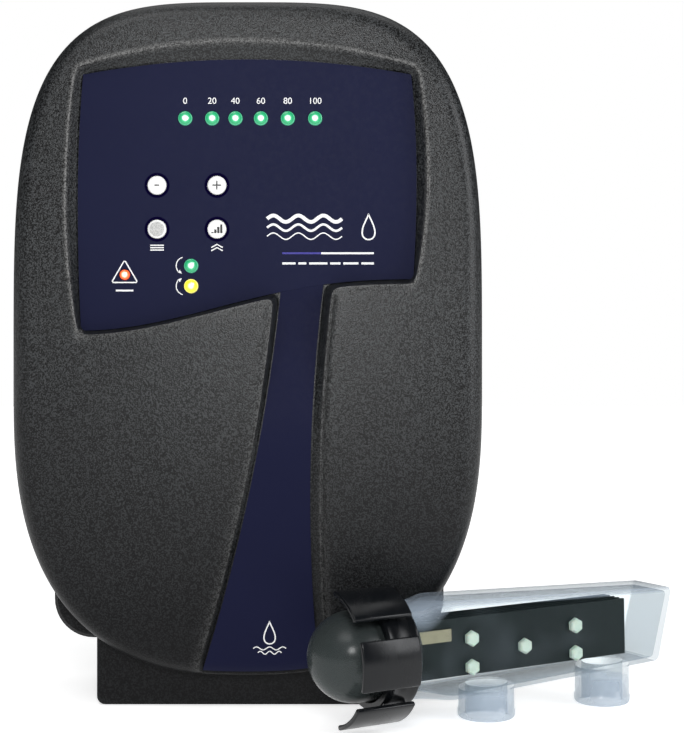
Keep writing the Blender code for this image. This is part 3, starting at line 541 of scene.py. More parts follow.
MOUTH, MOUTH_WEIGHT = pocket_loop(PANEL_MOUTH, CHANNEL_LEFT_WALL, CHANNEL_RIGHT_WALL, 1.2 * MM)
FLOOR, _ = pocket_loop(PANEL_FLOOR, 0.5 * MM, 0.5 * MM, 2.4 * MM)


def relief(points):
    """Bead round the recess, soft shoulders of the cheeks and the groove; and a mask of painted highlight on
    the bead and the shoulders.
    """
    gap, nearest = distance_to(MOUTH, points)
    weight = np.array(MOUTH_WEIGHT)[nearest]
    x, z = points.T
    bead = np.sin(math.pi * np.clip(gap / BEAD_WIDTH, 0, 1)) ** 2
    shoulder = np.exp(-(gap / SHOULDER_REACH) ** 2)
    across = x - stripe_right(z) - GROOVE_FROM_STRIPE
    level = smoothstep((z - 24 * MM) / (6 * MM)) * smoothstep((wave_z(x, PANEL_MOUTH) - z) / (8 * MM))
    groove = np.exp(-(across / GROOVE_HALF) ** 2) * level
    height = weight * BEAD_HEIGHT * bead
    height = height - (1 - weight) * SHOULDER_DROP * shoulder - GROOVE_DEPTH * groove
    # painted highlight: pale on the bead round the recess's top and sides, fainter on the cheeks' shoulders
    painted_highlight = weight * np.clip(1.25 - gap / BEAD_WIDTH, 0, 1) + (1 - weight) * 0.3 * shoulder
    return height, painted_highlight


def near_mouth(shift):
    """The mouth's edge moved outwards."""
    loop = np.array(MOUTH)
    run = np.roll(loop, -1, 0) - np.roll(loop, 1, 0)
    run /= np.hypot(*run.T)[:, None]
    out = np.stack([-run[:, 1], run[:, 0]], 1)
    moved = loop + out * shift
    if inside(MOUTH, moved[:1])[0]:
        moved = loop - out * shift
    kept = [tuple(p) for p, ok in zip(moved, ~inside(MOUTH, moved)) if ok]
    return [p for p in kept if ratio_and_inset(*np.array(p))[1] > 0.6 * MM]


WALL_PROFILE = ((0.0, 0.0), (0.02, 0.02), (0.06, 0.08), (0.12, 0.17), (0.3, 0.38), (0.5, 0.59),
                (0.7, 0.79), (0.84, 0.92), (0.92, 0.98), (0.97, 0.997), (1.0, 1.0))


def panel_holes(clearance):
    loops = []
    for name in LED_NODES + [f"key_{key}" for key in KEY_NAMES]:
        low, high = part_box(name)
        middle = (low + high) / 2
        radius = KEY_R * MM if name.startswith("key") else (high.x - low.x) / 2
        loops.append(circle_loop(middle.x, middle.z, radius + clearance))
    return loops


def runs_outside_mouth(ring):
    """The stretches of a ring that stay clear of the recess."""
    away = list(~inside(MOUTH, np.array(ring)))
    runs, run = [], []
    for point, clear_of_it in zip(ring + ring[:1], away + away[:1]):
        if clear_of_it:
            run.append(point)
        elif run:
            runs.append(run)
            run = []
    return runs + [run]


def cover_lines():
    """What the cover's face follows: its rounded edge, the bead round the recess and the groove."""
    lines = []
    for inset in [COVER_EDGE_R * (1 - cos) for _, cos in quarter_turn(9)[1:]] + [12 * MM, 14.5 * MM]:
        lines += runs_outside_mouth(outline_ring(inset))
    for shift in (0.4, 0.9, 1.6, 2.3, 3.2, 4.6):
        lines += [[point] for point in near_mouth(shift * MM)]
    heights = np.linspace(26 * MM, 214 * MM, 80)
    for off in (-1.1, -0.6, -0.25, 0.0, 0.25, 0.6, 1.1):
        lines.append([(stripe_right(z) + GROOVE_FROM_STRIPE + off * MM, z) for z in heights])
    return lines


def pocket_wall(bm):
    """Joins the mouth's edge to the floor's; its first part carries the painted highlight mask."""
    mouth, floor = np.array(MOUTH), np.array(FLOOR)
    edge_rise, painted_edge_highlight = relief(mouth)
    top = skin_height(*mouth.T) + edge_rise
    bottom = floor_height(*floor.T)
    rings = []
    for across, down in WALL_PROFILE:
        place = mouth + (floor - mouth) * across
        height = top + (bottom - top) * down
        rings.append([(x, SPLIT_Y - h, z) for (x, z), h in zip(place, height)])
    made = skin_rings(bm, rings)
    layer = bm.verts.layers.float["painted_edge_highlight"]
    for ring, (across, _) in zip(made, WALL_PROFILE):
        for vert, amount in zip(ring, painted_edge_highlight):
            vert[layer] = float(amount) * max(0.0, 1 - across * 5)


def front_cover(look):
    bm = bmesh.new()
    outer = outline_ring(0.0)
    points, faces = triangulated(outer, [MOUTH], 3.2 * MM, cover_lines())
    # the relief also gives the mask of painted highlight, kept on the vertices
    raised, painted_highlight = relief(points)
    add_sheet(bm, points, faces, SPLIT_Y - skin_height(*points.T) - raised, painted_highlight)
    pocket_wall(bm)
    points, faces = triangulated(FLOOR, panel_holes(0.6 * MM), 5 * MM)
    add_sheet(bm, points, faces, SPLIT_Y - floor_height(*points.T))
    skin_rings(bm, [[(x, SPLIT_Y - COVER_SIDE * k / 3, z) for x, z in outer] for k in range(4)])
    bmesh.ops.remove_doubles(bm, verts=bm.verts, dist=0.02 * MM)
    piece = add_mesh("cover_shell", bm, look, 50)
    front = max(piece.data.polygons, key=lambda face: face.area)
    if front.normal.y > 0:
        piece.data.flip_normals()
    solidify(piece, COVER_WALL)
    settle(piece, "controller", "case_plastic", "front_cover")


# ---------------------------------------------------------- films and printing
def facing_front(piece):
    if sum(face.normal.y * face.area for face in piece.data.polygons) > 0:
        piece.data.flip_normals()


def panel_film(look):
    outline = panel_top(PANEL_FLOOR, 62)[:-1] + panel_side(PANEL_FLOOR, 1, 40)[:-1]
    low = PANEL_FLOOR["low"] * MM
    outline += wave_run(PANEL_FLOOR, low, -low, 80)[:-1] + panel_side(PANEL_FLOOR, -1, 48)[::-1][:-1]
    points, faces = triangulated(outline, panel_holes(0.25 * MM), 6 * MM)
    bm = bmesh.new()
    add_sheet(bm, points, faces, np.full(len(points), FILM_FRONT))
    piece = add_mesh("panel_film", bm, look)
    facing_front(piece)
    solidify(piece, FILM_THICK)
    settle(piece, "controller", "overlay_film", "display_overlay")


def stripe_y(x, z):
    return SPLIT_Y - float(floor_height(x, z)) - STRIPE_RAISE


def stripe_column(share):
    """Foot and top of the stripe at a share of its width."""
    foot = float(cover_foot_z(-22 * MM + 60 * MM * share)) + STRIPE_FOOT
    top = meeting_z(stripe_left, 0.0, PANEL_FLOOR)
    for _ in range(6):
        x_top = stripe_left(top) * (1 - share) + stripe_right(top) * share
        top = float(wave_z(x_top, PANEL_FLOOR)) - 0.05 * MM
    return share, foot, top


def stripe_film(look):
    columns = [stripe_column(share) for share in np.linspace(0, 1, 13)]
    rows = []
    for k in np.linspace(0, 1, 90):
        row = []
        for share, foot, top in columns:
            z = foot + (top - foot) * k
            x = stripe_left(z) * (1 - share) + stripe_right(z) * share
            row.append((x, stripe_y(x, z), z))
        rows.append(row)
    bm = bmesh.new()
    skin_rings(bm, rows, closed=False)
    piece = add_mesh("stripe_film", bm, look)
    facing_front(piece)
    solidify(piece, FILM_THICK)
    settle(piece, "controller", "overlay_film", "stripe_inlay")


def stroke(points, width, closed=False):
    """The two sides of a line of even width, and whether it is closed."""
    line = np.array(points)
    run = np.roll(line, -1, 0) - np.roll(line, 1, 0) if closed else np.gradient(line, axis=0)
    run = run / np.hypot(*run.T)[:, None]
    out = np.stack([-run[:, 1], run[:, 0]], 1) * width / 2
    return (line + out).tolist(), (line - out).tolist(), closed


def bar(low_x, low_z, high_x, high_z):
    return [(low_x, low_z), (high_x, low_z), (high_x, high_z), (low_x, high_z)]


def arc(x, z, radius, start, stop):
    turns = np.radians(np.linspace(start, stop, 24))
    return [(x + radius * math.cos(t), z + radius * math.sin(t)) for t in turns]


def figures(text, x, z, height):
    """Numerals as flat loops, centred on x."""
    curve = bpy.data.curves.new("figures", "FONT")
    curve.body = text
    curve.align_x = "CENTER"
    curve.size = height / 0.7
    curve.resolution_u = 4
    guide = bpy.data.objects.new("figures", curve)
    bpy.context.scene.collection.objects.link(guide)
    graph = bpy.context.evaluated_depsgraph_get()
    mesh = bpy.data.meshes.new_from_object(guide.evaluated_get(graph))
    bpy.data.objects.remove(guide)
    return [[(x + mesh.vertices[i].co.x, z + mesh.vertices[i].co.y) for i in face.vertices]
            for face in mesh.polygons]


def printed(name, look, shapes, strokes, height_of, body="controller", slot="key_cap"):
    """Ink on a surface, drawn in millimetres: a thin raised layer that follows height_of(x, z)."""
    bm = bmesh.new()

    def verts(points):
        return [bm.verts.new((x * MM, height_of(x * MM, z * MM) - INK_RAISE, z * MM)) for x, z in points]

    for shape in shapes:
        bm.faces.new(verts(shape))
    for one, two, closed in strokes:
        left, right = verts(one), verts(two)
        for i in range(len(one) if closed else len(one) - 1):
            j = (i + 1) % len(one)
            bm.faces.new((left[i], left[j], right[j], right[i]))
    for face in bm.faces:
        face.normal_update()
        if face.normal.y > 0:
            face.normal_flip()
    mesh = bpy.data.meshes.new(name)
    bm.to_mesh(mesh)
    bm.free()
    mesh.materials.append(look)
    piece = bpy.data.objects.new(name, mesh)
    bpy.context.scene.collection.objects.link(piece)
    solidify(piece, INK_THICK)
    settle(piece, body, slot)


def film_y(_x, _z):
    return FILM_FRONT


def middle_of(node):
    low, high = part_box(node)
    return (low + high) / 2


def spot_of(node):
    """Middle of a node seen from the front, in millimetres."""
    middle = middle_of(node)
    return middle.x / MM, middle.z / MM


def drop_loop(x, z, height):
    """A water drop: round below, pointed above."""
    points = []
    for i in range(36):
        turn = 2 * math.pi * i / 36
        narrow = math.sin(turn / 2) ** 1.6
        points.append((x + 0.36 * height * math.sin(turn) * narrow, z + 0.5 * height * math.cos(turn)))
    return points


def alarm_sign(shapes, strokes):
    x, z = spot_of("alarm_led")
    corners = [(-6.9, -4.1), (6.9, -4.1), (0, 7.7)]
    triangle = []
    for (u1, v1), (u2, v2) in zip(corners, corners[1:] + corners[:1]):
        triangle += [(x + u1 + (u2 - u1) * t, z + v1 + (v2 - v1) * t) for t in np.linspace(0.06, 0.94, 12)]
    strokes.append(stroke(triangle, 0.65, closed=True))
    shapes.append(bar(x - 4.6, z - 8.8, x + 4.6, z - 7.9))


def polarity_arrows(shapes, strokes):
    radius = 4.6
    for way, start, stop, sign in (("forward", 105, 225, -1), ("reverse", 255, 135, 1)):
        x, z = spot_of(f"polarity_led_{way}")
        x -= 3.2
        strokes.append(stroke(arc(x, z, radius, start, stop), 0.5))
        tip_x = x + radius * math.cos(math.radians(stop))
        tip_z = z + radius * math.sin(math.radians(stop))
        shapes.append([(tip_x - 0.5, tip_z + sign * 0.3), (tip_x + 0.6, tip_z - sign * 1.1),
                       (tip_x + 1.7, tip_z + sign * 0.9)])


def key_signs(shapes, strokes):
    x, z = spot_of("key_shutter")
    for k in range(3):                              # slats of a cover
        level = z - 8.8 - k * 1.25
        shapes.append(bar(x - 3.6, level, x + 3.6, level + 0.6))
    x, z = spot_of("key_boost")
    for k in range(2):                              # chevrons for more output
        base = z - 11.4 + k * 1.7
        strokes.append(stroke([(x - 3.0, base), (x, base + 1.7), (x + 3.0, base)], 0.6))


def water_sign(shapes, strokes):
    left, right, line_z = 10.5, 50, 240.9
    for level, width in ((259.6, 1.9), (254.9, 1.2), (250.4, 0.6)):
        wave = [(x, level + 1.7 * math.sin((x - left) / 6.6 * math.pi)) for x in np.linspace(left, right, 60)]
        strokes.append(stroke(wave, width))
    strokes.append(stroke(drop_loop(64, 255.4, 13.6), 0.75, closed=True))
    shapes.append(bar(ACCENT_END, line_z, 66.8, line_z + 1))
    start = ACCENT_START
    for width in (7.0, 4.2, 9.6, 5.4, 8.0, 6.6):    # dashes in place of a line of words
        shapes.append(bar(start, 235.5, start + width, 236.6))
        start += width + 1.5


def panel_printing(white, dark, accent):
    shapes, strokes = [], []
    for node, text in zip(OUTPUT_LEDS, ("0", "20", "40", "60", "80", "100")):
        x, z = spot_of(node)
        shapes += figures(text, x, z + 7.6, 3.3)
    for sign in (alarm_sign, polarity_arrows, key_signs, water_sign):
        sign(shapes, strokes)
    printed("panel_printing", white, shapes, strokes, film_y)
    rings = [stroke(circle_loop(*spot_of(f"key_{key}"), 5.95, 48), 1.25, closed=True) for key in KEY_NAMES]
    printed("key_rings", dark, [], rings, film_y, slot="overlay_film")
    printed("panel_accent", accent, [bar(ACCENT_START, 240.9, ACCENT_END, 241.9)], [], film_y,
            slot="overlay_film")


def stripe_printing(white):
    x, z = 12.0, 42.0
    strokes = [stroke(drop_loop(x, z, 12), 0.7, closed=True)]
    for k in range(2):
        span = 8.6 - 2.4 * k
        ripple = [(x + u, z - 8.4 - 2.3 * k + 0.8 * math.cos(u / span * 2.5 * math.pi))
                  for u in np.linspace(-span, span, 40)]
        strokes.append(stroke(ripple, 0.55))
    printed("stripe_printing", white, [], strokes, stripe_y)


# ------------------------------------------------------------- keys and lenses
def key_caps(white, dark, grey):
    for key in KEY_NAMES:
        node = f"key_{key}"
        low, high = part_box(node)
        spot = middle_of(node)
        depth = (high.y - low.y) / MM
        profile = [(0.0, 0.0), (3.4, 0.0), (KEY_R - 0.7, 0.05), (KEY_R - 0.28, 0.16), (KEY_R - 0.07, 0.38),
                   (KEY_R, 0.7), (KEY_R, depth - 5.4), (6.3, depth - 5.4), (6.3, depth - 4.4),
                   (1.5, depth - 4.4), (1.5, depth), (0.0, depth)]
        cap = lathe(f"cap_{key}", profile, white, along_y(spot.x, low.y, spot.z), 56)
        settle(cap, f"{key}_key", "key_cap", node)
        key_symbol(key, low.y, dark, grey)


def key_symbol(key, front, dark, grey):
    x, z = spot_of(f"key_{key}")
    line = 0.35
    shapes = {
        "minus": [bar(x - 1.25, z - line, x + 1.25, z + line)],
        "plus": [bar(x - 2.3, z - line, x + 2.3, z + line), bar(x - line, z - 2.3, x + line, z - line),
                 bar(x - line, z + line, x + line, z + 2.3)],
        "boost": [bar(x - 2.9 + 1.55 * k, z - 2.2, x - 1.7 + 1.55 * k, z - 1.6 + 1.35 * k) for k in range(4)],
        "shutter": [circle_loop(x, z, 3.9, 48)],
    }[key]
    look = grey if key == "shutter" else dark
    printed(f"symbol_{key}", look, shapes, [], lambda x, z: front, f"{key}_key", "switch_black")


def lenses(looks):
    for node in LED_NODES:
        low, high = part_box(node)
        spot = middle_of(node)
        depth, radius = (high.y - low.y) / MM, (high.x - low.x) / 2 / MM
        profile = [(radius * sin, 0.9 * (1 - cos)) for sin, cos in quarter_turn(8)]
        profile += [(radius, depth), (0.0, depth)]
        colour = {"alarm_led": "red", "polarity_led_reverse": "yellow"}.get(node, "green")
        lens = lathe(f"lens_{node}", profile, looks[colour], along_y(0, 0, 0), 40)
        lens.location = (spot.x, low.y, spot.z)
        settle(lens, "controller", f"led_{colour}", node)


# ------------------------------------------------------------------- rear case
def plane_loop(loop, y):
    return [(x, y, z) for x, z in loop]


def case_outline(grow):
    return rounded_rectangle(-CASE_HALF_W - grow, CASE_FOOT_Z - grow, CASE_HALF_W + grow,
                             CASE_TOP_Z + grow, CASE_CORNER + grow, 12)


def foot_outline(grow):
    return rounded_rectangle(-FOOT_HALF_W - grow, -grow, FOOT_HALF_W + grow, FOOT_TOP_Z + grow,
                             4.5 * MM + min(grow, 0.0) * 0.9, 6)


def box_rings(outline, front, flare, back, edge):
    """A box whose front edge flares out, or in where flare is negative, and whose back edge is rounded."""
    rings = [plane_loop(outline(flare * (1 - sin)), front + abs(flare) * (1 - cos))
             for sin, cos in quarter_turn(5)]
    rings += [plane_loop(outline(-edge * (1 - cos)), back - edge * (1 - sin)) for sin, cos in quarter_turn(9)]
    return rings


def flange_rings():
    edge, back = 0.9 * MM, FLANGE_FRONT_Y + FLANGE_THICK
    rings = [plane_loop(outline_ring(FLANGE_INSET + edge * (1 - sin)), FLANGE_FRONT_Y + edge * (1 - cos))
             for sin, cos in quarter_turn(3)]
    rings += [plane_loop(outline_ring(FLANGE_INSET + edge * (1 - cos)), back - edge * (1 - sin))
              for sin, cos in quarter_turn(3)]
    return rings


def slab(loop, front, back, look):
    return loft("slab", [plane_loop(loop, front), plane_loop(loop, back)], look)


def rear_case(look):
    behind = FLANGE_FRONT_Y + FLANGE_THICK
    body = box_rings(case_outline, behind, 2.0 * MM, CASE_BACK_Y, 6 * MM)
    body.insert(0, plane_loop(case_outline(0.0), behind - 2 * MM))
    foot = box_rings(foot_outline, SPLIT_Y + 2.6 * MM, -1.5 * MM, FOOT_BACK_Y, 3.5 * MM)
    case = loft("case_shell", flange_rings(), look)
    boolean(case, loft("body", body, look), "UNION")
    boolean(case, loft("foot", foot, look), "UNION")
    hollow = rounded_rectangle(-CASE_HALF_W + CASE_WALL, CASE_FOOT_Z + CASE_WALL, CASE_HALF_W - CASE_WALL,
                               CASE_TOP_Z - CASE_WALL, CASE_CORNER - CASE_WALL, 8)
    lower = rounded_rectangle(-FOOT_HALF_W + CASE_WALL, CASE_WALL, FOOT_HALF_W - CASE_WALL,
                              FOOT_TOP_Z - 10 * MM, 2 * MM, 3)
    front = SPLIT_Y + 1 * MM
    boolean(case, slab(hollow, behind, CASE_BACK_Y - CASE_WALL, look), "DIFFERENCE")
    mouth = slab(outline_ring(14 * MM), front, behind + 1 * MM, look)
    boolean(mouth, slab(hollow, front - 1 * MM, behind + 2 * MM, look), "INTERSECT")
    boolean(case, mouth, "DIFFERENCE")
    boolean(case, slab(lower, behind, FOOT_BACK_Y - CASE_WALL, look), "DIFFERENCE")
    soften(case.data, 32)
    settle(case, "controller", "case_plastic", "rear_case")


def fluted(count, depth, low, high):
    """A ripple for lathe: grooves along the axis between two heights."""
    return lambda turn, h: 1 - depth * max(0.0, math.cos(count * turn)) ** 3 if low < h < high else 1.0


def cable_glands(look, dark):
    top, base = CASE_FOOT_Z / MM - GAP, CASE_FOOT_Z / MM - 19
    bore, hexagon = 4.6, 9.8
    cap = [(9, top - 5.3), (9.4, top - 6), (9.4, base + 6), (9.0, base + 3.4), (7.9, base + 1.1),
           (6.9, base + 0.2), (5.6, base), (bore, base + 0.5), (bore, top - 5.3)]
    seal = [(bore + 0.9, base + 0.5), (bore + 0.9, base - 0.1), (bore - 0.4, base - 0.1),
            (bore - 0.4, base + 6), (bore, base + 6)]
    for node in ("mains_gland", "cell_gland"):
        spot, end = middle_of(node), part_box(node)[1].z / MM
        place = Matrix.Translation((spot.x, spot.y, 0.0))
        nut = [(8, end), (8, top), (hexagon, top), (hexagon, top - 4.4), (9.2, top - 5),
               (bore, top - 5), (bore, end)]
        body = lathe(f"{node}_body", nut, look, place, 48)
        dome = lathe(f"{node}_cap", cap, look, place, 96, fluted(16, 0.06, base + 5, top - 5.5))
        insert = lathe(f"{node}_seal", seal, dark, place, 40)
        settle(body, "controller", "gland_nylon", node)
        settle(dome, "controller", "gland_nylon")
        settle(insert, "controller", "gasket_rubber")


def cover_screws(look):
    profile = [(3.2 * sin, 0.9 + 1.3 * cos) for sin, cos in quarter_turn(6)]
    profile += [(3.2, 0.0), (1.5, 0.0), (1.5, -10.6), (0.0, -12)]
    blade = rounded_rectangle(-1.9 * MM, -0.35 * MM, 1.9 * MM, 0.35 * MM, 0.2 * MM, 2)
    for number in range(1, 5):
        node = f"cover_screw_{number}"
        spot = middle_of(node)
        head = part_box(node)[1].y - 2.2 * MM
        screw = lathe(f"screw_{number}", profile, look, along_y(spot.x, head, spot.z), 32)
        for degrees in (45, 135):
            spin = Matrix.Rotation(math.radians(degrees), 2)
            turned = [spin @ Vector(p) for p in blade]
            loop = [(spot.x + p.x, spot.z + p.y) for p in turned]
            boolean(screw, slab(loop, head + 1.0 * MM, head + 4 * MM, look), "DIFFERENCE")
        screw.data.set_sharp_from_angle(angle=math.radians(35))
        settle(screw, "controller", "screw_steel", node)


def wall_bracket(look):
    low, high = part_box("wall_bracket")
    outline = rounded_rectangle(low.x, low.z, high.x, high.z, 8 * MM, 8)
    slots = []
    for x in (-50 * MM, 50 * MM):
        slots.append(rounded_rectangle(x - 3 * MM, 245 * MM, x + 3 * MM, 265 * MM, 2.95 * MM, 8))
    points, faces = triangulated(outline, slots, 12 * MM)
    bm = bmesh.new()
    add_sheet(bm, points, faces, np.full(len(points), low.y))
    bmesh.ops.dissolve_limit(bm, angle_limit=0.01, verts=bm.verts, edges=bm.edges)
    piece = add_mesh("bracket_plate", bm, look)
    facing_front(piece)
    solidify(piece, high.y - low.y)
    bevel(piece, 0.35 * MM)
    settle(piece, "controller", "screw_steel", "wall_bracket")


# ------------------------------------------------------------------------ cell
def section(s_top, s_low, half_w, high, low, corner):
    points = rounded_rectangle(-half_w, low, half_w, high, corner, 8)
    return [cell_point(s_low + (s_top - s_low) * (z - low) / (high - low), y, z) for y, z in points]


def thinned(shape, wall, off_corner):
    half_w, high, low, corner = shape
    return half_w - wall, high - wall, low + wall, corner - off_corner


def housing_rings(wall):
    """Round neck, a smooth change to a box and a tapered body with a raked end."""
    neck = NECK_BORE_R if wall else NECK_R
    start = -4 if wall else -1.1
    tight = 0.02
    box, far = thinned(HOUSING_NEAR, wall, wall), thinned(HOUSING_FAR, wall, wall / 2)
    rings = [section(s, s, neck, neck, -neck, neck - tight) for s in (start, start + 2, NECK_END)]
    for k in range(1, 9):
        t = float(smoothstep(k / 9))
        s = NECK_END + (BOX_START - NECK_END) * k / 9
        shape = [neck + (box[0] - neck) * t, neck + (box[1] - neck) * t, -neck + (box[2] + neck) * t]
        corner = min(shape[0], neck - tight + (box[3] - neck + tight) * t) - tight
        rings.append(section(s, s, *shape, corner))
    end, stops = HOUSING_END - wall * 1.2, 14
    for k in range(stops):
        t = k / stops
        s = BOX_START + (end - FAR_EDGE - BOX_START) * t
        rings.append(section(s, s - HOUSING_RAKE * t, *(a + (b - a) * t for a, b in zip(box, far))))
    for sin, cos in quarter_turn(3):
        cut = FAR_EDGE * (1 - cos)
        s = end - FAR_EDGE * (1 - sin)
        rings.append(section(s, s - HOUSING_RAKE, far[0] - cut, far[1] - cut, far[2] + cut, far[3]))
    return rings


def port_place(s):
    along = s * MM
    return Matrix.Translation((CELL_POS.x + CELL_HEADING.x * along, CELL_POS.y + CELL_HEADING.y * along, 0))


def cell_housing(look):
    housing = loft("housing_shell", housing_rings(0), look)
    top, swell, mouth = CELL_POS.z / MM - 9, PORT_R + 0.5, PORT_BORE_R + 1.2
    spigot = [(0.0, top), (PORT_R, top), (PORT_R, 5.4), (swell, 4.6), (swell, PORT_RIM_R)]
    spigot += [(swell - PORT_RIM_R * (1 - cos), PORT_RIM_R * (1 - sin)) for sin, cos in quarter_turn(6)[1:]]
    spigot.append((0.0, 0.0))
    bore = [(0.0, top), (PORT_BORE_R, top), (PORT_BORE_R, 1.2), (mouth, -0.2), (mouth, -5), (0.0, -5)]
    for s in PORTS:
        boolean(housing, lathe("spigot", spigot, look, port_place(s), 56), "UNION")
    boolean(housing, loft("hollow", housing_rings(HOUSING_WALL), look), "DIFFERENCE")
    for s in PORTS:
        boolean(housing, lathe("bore", bore, look, port_place(s), 56), "DIFFERENCE")
    soften(housing.data, 32)
    settle(housing, "cell_body", "clear_plastic", "cell_housing")


def head_dome(look):
    wall, rim, step = DOME_R - DOME_WALL, -4.7, -7.7
    inner = [(wall * sin, DOME_CENTRE - wall * cos) for sin, cos in quarter_turn(16)]
    outer = [(DOME_R * sin, DOME_CENTRE - DOME_R * cos) for sin, cos in quarter_turn(16)]
    points = [*inner, (wall, rim), (NECK_R - 0.4, rim), (NECK_R, rim - 0.4), (NECK_R, step + 0.4),
              (NECK_R - 0.4, step), (DOME_R + 0.8, step), (DOME_R, step - 0.8), *reversed(outer)]
    dome = lathe("dome_shell", points, look, cell_x(), 72)
    settle(dome, "electrode_head", "clear_plastic", "head_dome")


def carrier_and_posts(grey, rubber, titanium):
    plug = [(0.0, 9.2), (PLUG_R - 0.8, 9.2), (PLUG_R, 8.4), (PLUG_R, 5.2), (SEAL_GROOVE_R, 5.2),
            (SEAL_GROOVE_R, 2.8), (PLUG_R, 2.8), (PLUG_R, -1.4), (NECK_R - 0.3, -1.4), (NECK_R, -1.7),
            (NECK_R, -4.1), (NECK_R - 0.3, -4.4), (15, -4.4), (14.2, -3.6), (0.0, -3.6)]
    carrier = lathe("carrier_plug", plug, grey, cell_x(), 64)
    settle(carrier, "electrode_head", "carrier_grey", "electrode_carrier")
    turns = [math.radians(a) for a in range(360, 0, -24)]
    ring = [(19.95 + 0.95 * math.cos(t), 4.0 + 0.95 * math.sin(t)) for t in turns]
    seal = lathe("seal_ring", ring, rubber, cell_x(), 64)
    settle(seal, "electrode_head", "gasket_rubber", "head_seal")
    post = [(0.0, -3.7), (4.5, -3.7), (4.5, -7.1), (4.1, -7.5), (2.2, -7.5)]
    for turn in range(12):                          # thread
        level = -8.0 - turn * 0.7
        post += [(2.2, level), (1.85, level - 0.35)]
    post += [(1.7, -16.8), (0.0, -17)]
    for number, y in enumerate((-8, 8), 1):
        piece = lathe(f"post_{number}", post, titanium, cell_x(y), 30,
                      lambda turn, h: hexagonal(turn) if h > -7.6 else 1.0, angle=28)
        settle(piece, "electrode_head", "titanium", f"terminal_post_{number}")


def hexagonal(turn):
    """Radius factor that makes a turned shape six-sided."""
    part = (turn + math.pi / 6) % (math.pi / 3) - math.pi / 6
    return math.cos(math.pi / 6) / math.cos(part)


def union_nut(look):
    waist = NUT_R - 0.5
    profile = [(NUT_R - 0.8, NUT_BACK), (NUT_R, NUT_BACK - 0.8), (NUT_R, NUT_BACK - 2.6),
               (waist, NUT_BACK - 3.4), (waist, NUT_FRONT + 4.2), (NUT_R, NUT_FRONT + 3.4),
               (NUT_R, NUT_FRONT + 0.9), (NUT_R - 0.9, NUT_FRONT), (NUT_MOUTH_R + 0.5, NUT_FRONT),
               (NUT_MOUTH_R, NUT_FRONT + 0.5), (NUT_MOUTH_R, -8), (NUT_THREAD_R, -8)]
    for k in range(5):                              # thread seen through the neck
        level = -6.5 + k * 2
        profile += [(NUT_THREAD_R, level), (NUT_THREAD_R - 0.25, level + 0.7), (NUT_THREAD_R, level + 1.4)]
    profile.append((NUT_THREAD_R, NUT_BACK))
    nut = lathe("nut_body", profile, look, cell_x(), 96)
    for degrees in LUG_TURNS:
        boolean(nut, lug_cap(math.radians(degrees), look), "UNION")
        boolean(nut, lug_web(math.radians(degrees), look), "UNION")
    soften(nut.data, 35)
    settle(nut, "nut", "nut_plastic", "union_nut")


def lug_ring(turn, shrink, s):
    """Section of a grip at s, bent round the cell's axis and drawn in by shrink."""
    half, inner = LUG_HALF_ANGLE * LUG_R - shrink, LUG_R - LUG_CAP_THICK + shrink
    loop = rounded_rectangle(-half, inner, half, LUG_R - shrink, LUG_EDGE * 1.1 - shrink, 3)
    points = []
    for (u, r), (u2, r2) in zip(loop, loop[1:] + loop[:1]):
        steps = 14 if abs(u2 - u) > 2 else 1
        for k in range(steps):
            angle = turn + (u + (u2 - u) * k / steps) / LUG_R
            radius = r + (r2 - r) * k / steps
            points.append(cell_point(s, radius * math.sin(angle), -radius * math.cos(angle)))
    return points


def lug_cap(turn, look):
    """Curved plate of a grip, with rounded edges; its middle is turned from the lowest line."""
    rings = [lug_ring(turn, LUG_EDGE * (1 - cos), LUG_START + LUG_EDGE * (1 - sin))
             for sin, cos in reversed(quarter_turn(3))]
    rings += [lug_ring(turn, LUG_EDGE * (1 - cos), LUG_END - LUG_EDGE * (1 - sin))
              for sin, cos in quarter_turn(3)]
    return loft("lug_cap", rings, look)


def lug_web(turn, look):
    corners = rounded_rectangle(NUT_R - 1.2, -LUG_WEB_HALF, LUG_R - 1.3, LUG_WEB_HALF, 0.6, 3)
    sin, cos = math.sin(turn), math.cos(turn)
    rings = [[cell_point(s, u * sin + v * cos, v * sin - u * cos) for u, v in corners]
             for s in (NUT_FRONT + 0.5, LUG_END - 0.5)]
    return loft("lug_web", rings, look)


def stack_bolts(look):
    side, shank, across = STACK_HALF + GAP, 2, 4.1
    end = side + 2.8
    head = [(0.0, end), (across * 0.78, end), (across * 0.98, end - 0.7), (across, end - 1.1),
            (across, side), (shank, side)]
    profile = head + [(r, -h) for r, h in reversed(head)]
    for number, (s, z) in enumerate(STACK_BOLTS, 1):
        bolt = lathe(f"bolt_{number}", profile, look, cell_y(s, z), 36,
                     lambda turn, h: hexagonal(turn) if abs(h) > STACK_HALF else 1.0, angle=30)
        settle(bolt, "electrode_head", "bolt_nylon", f"stack_bolt_{number}")


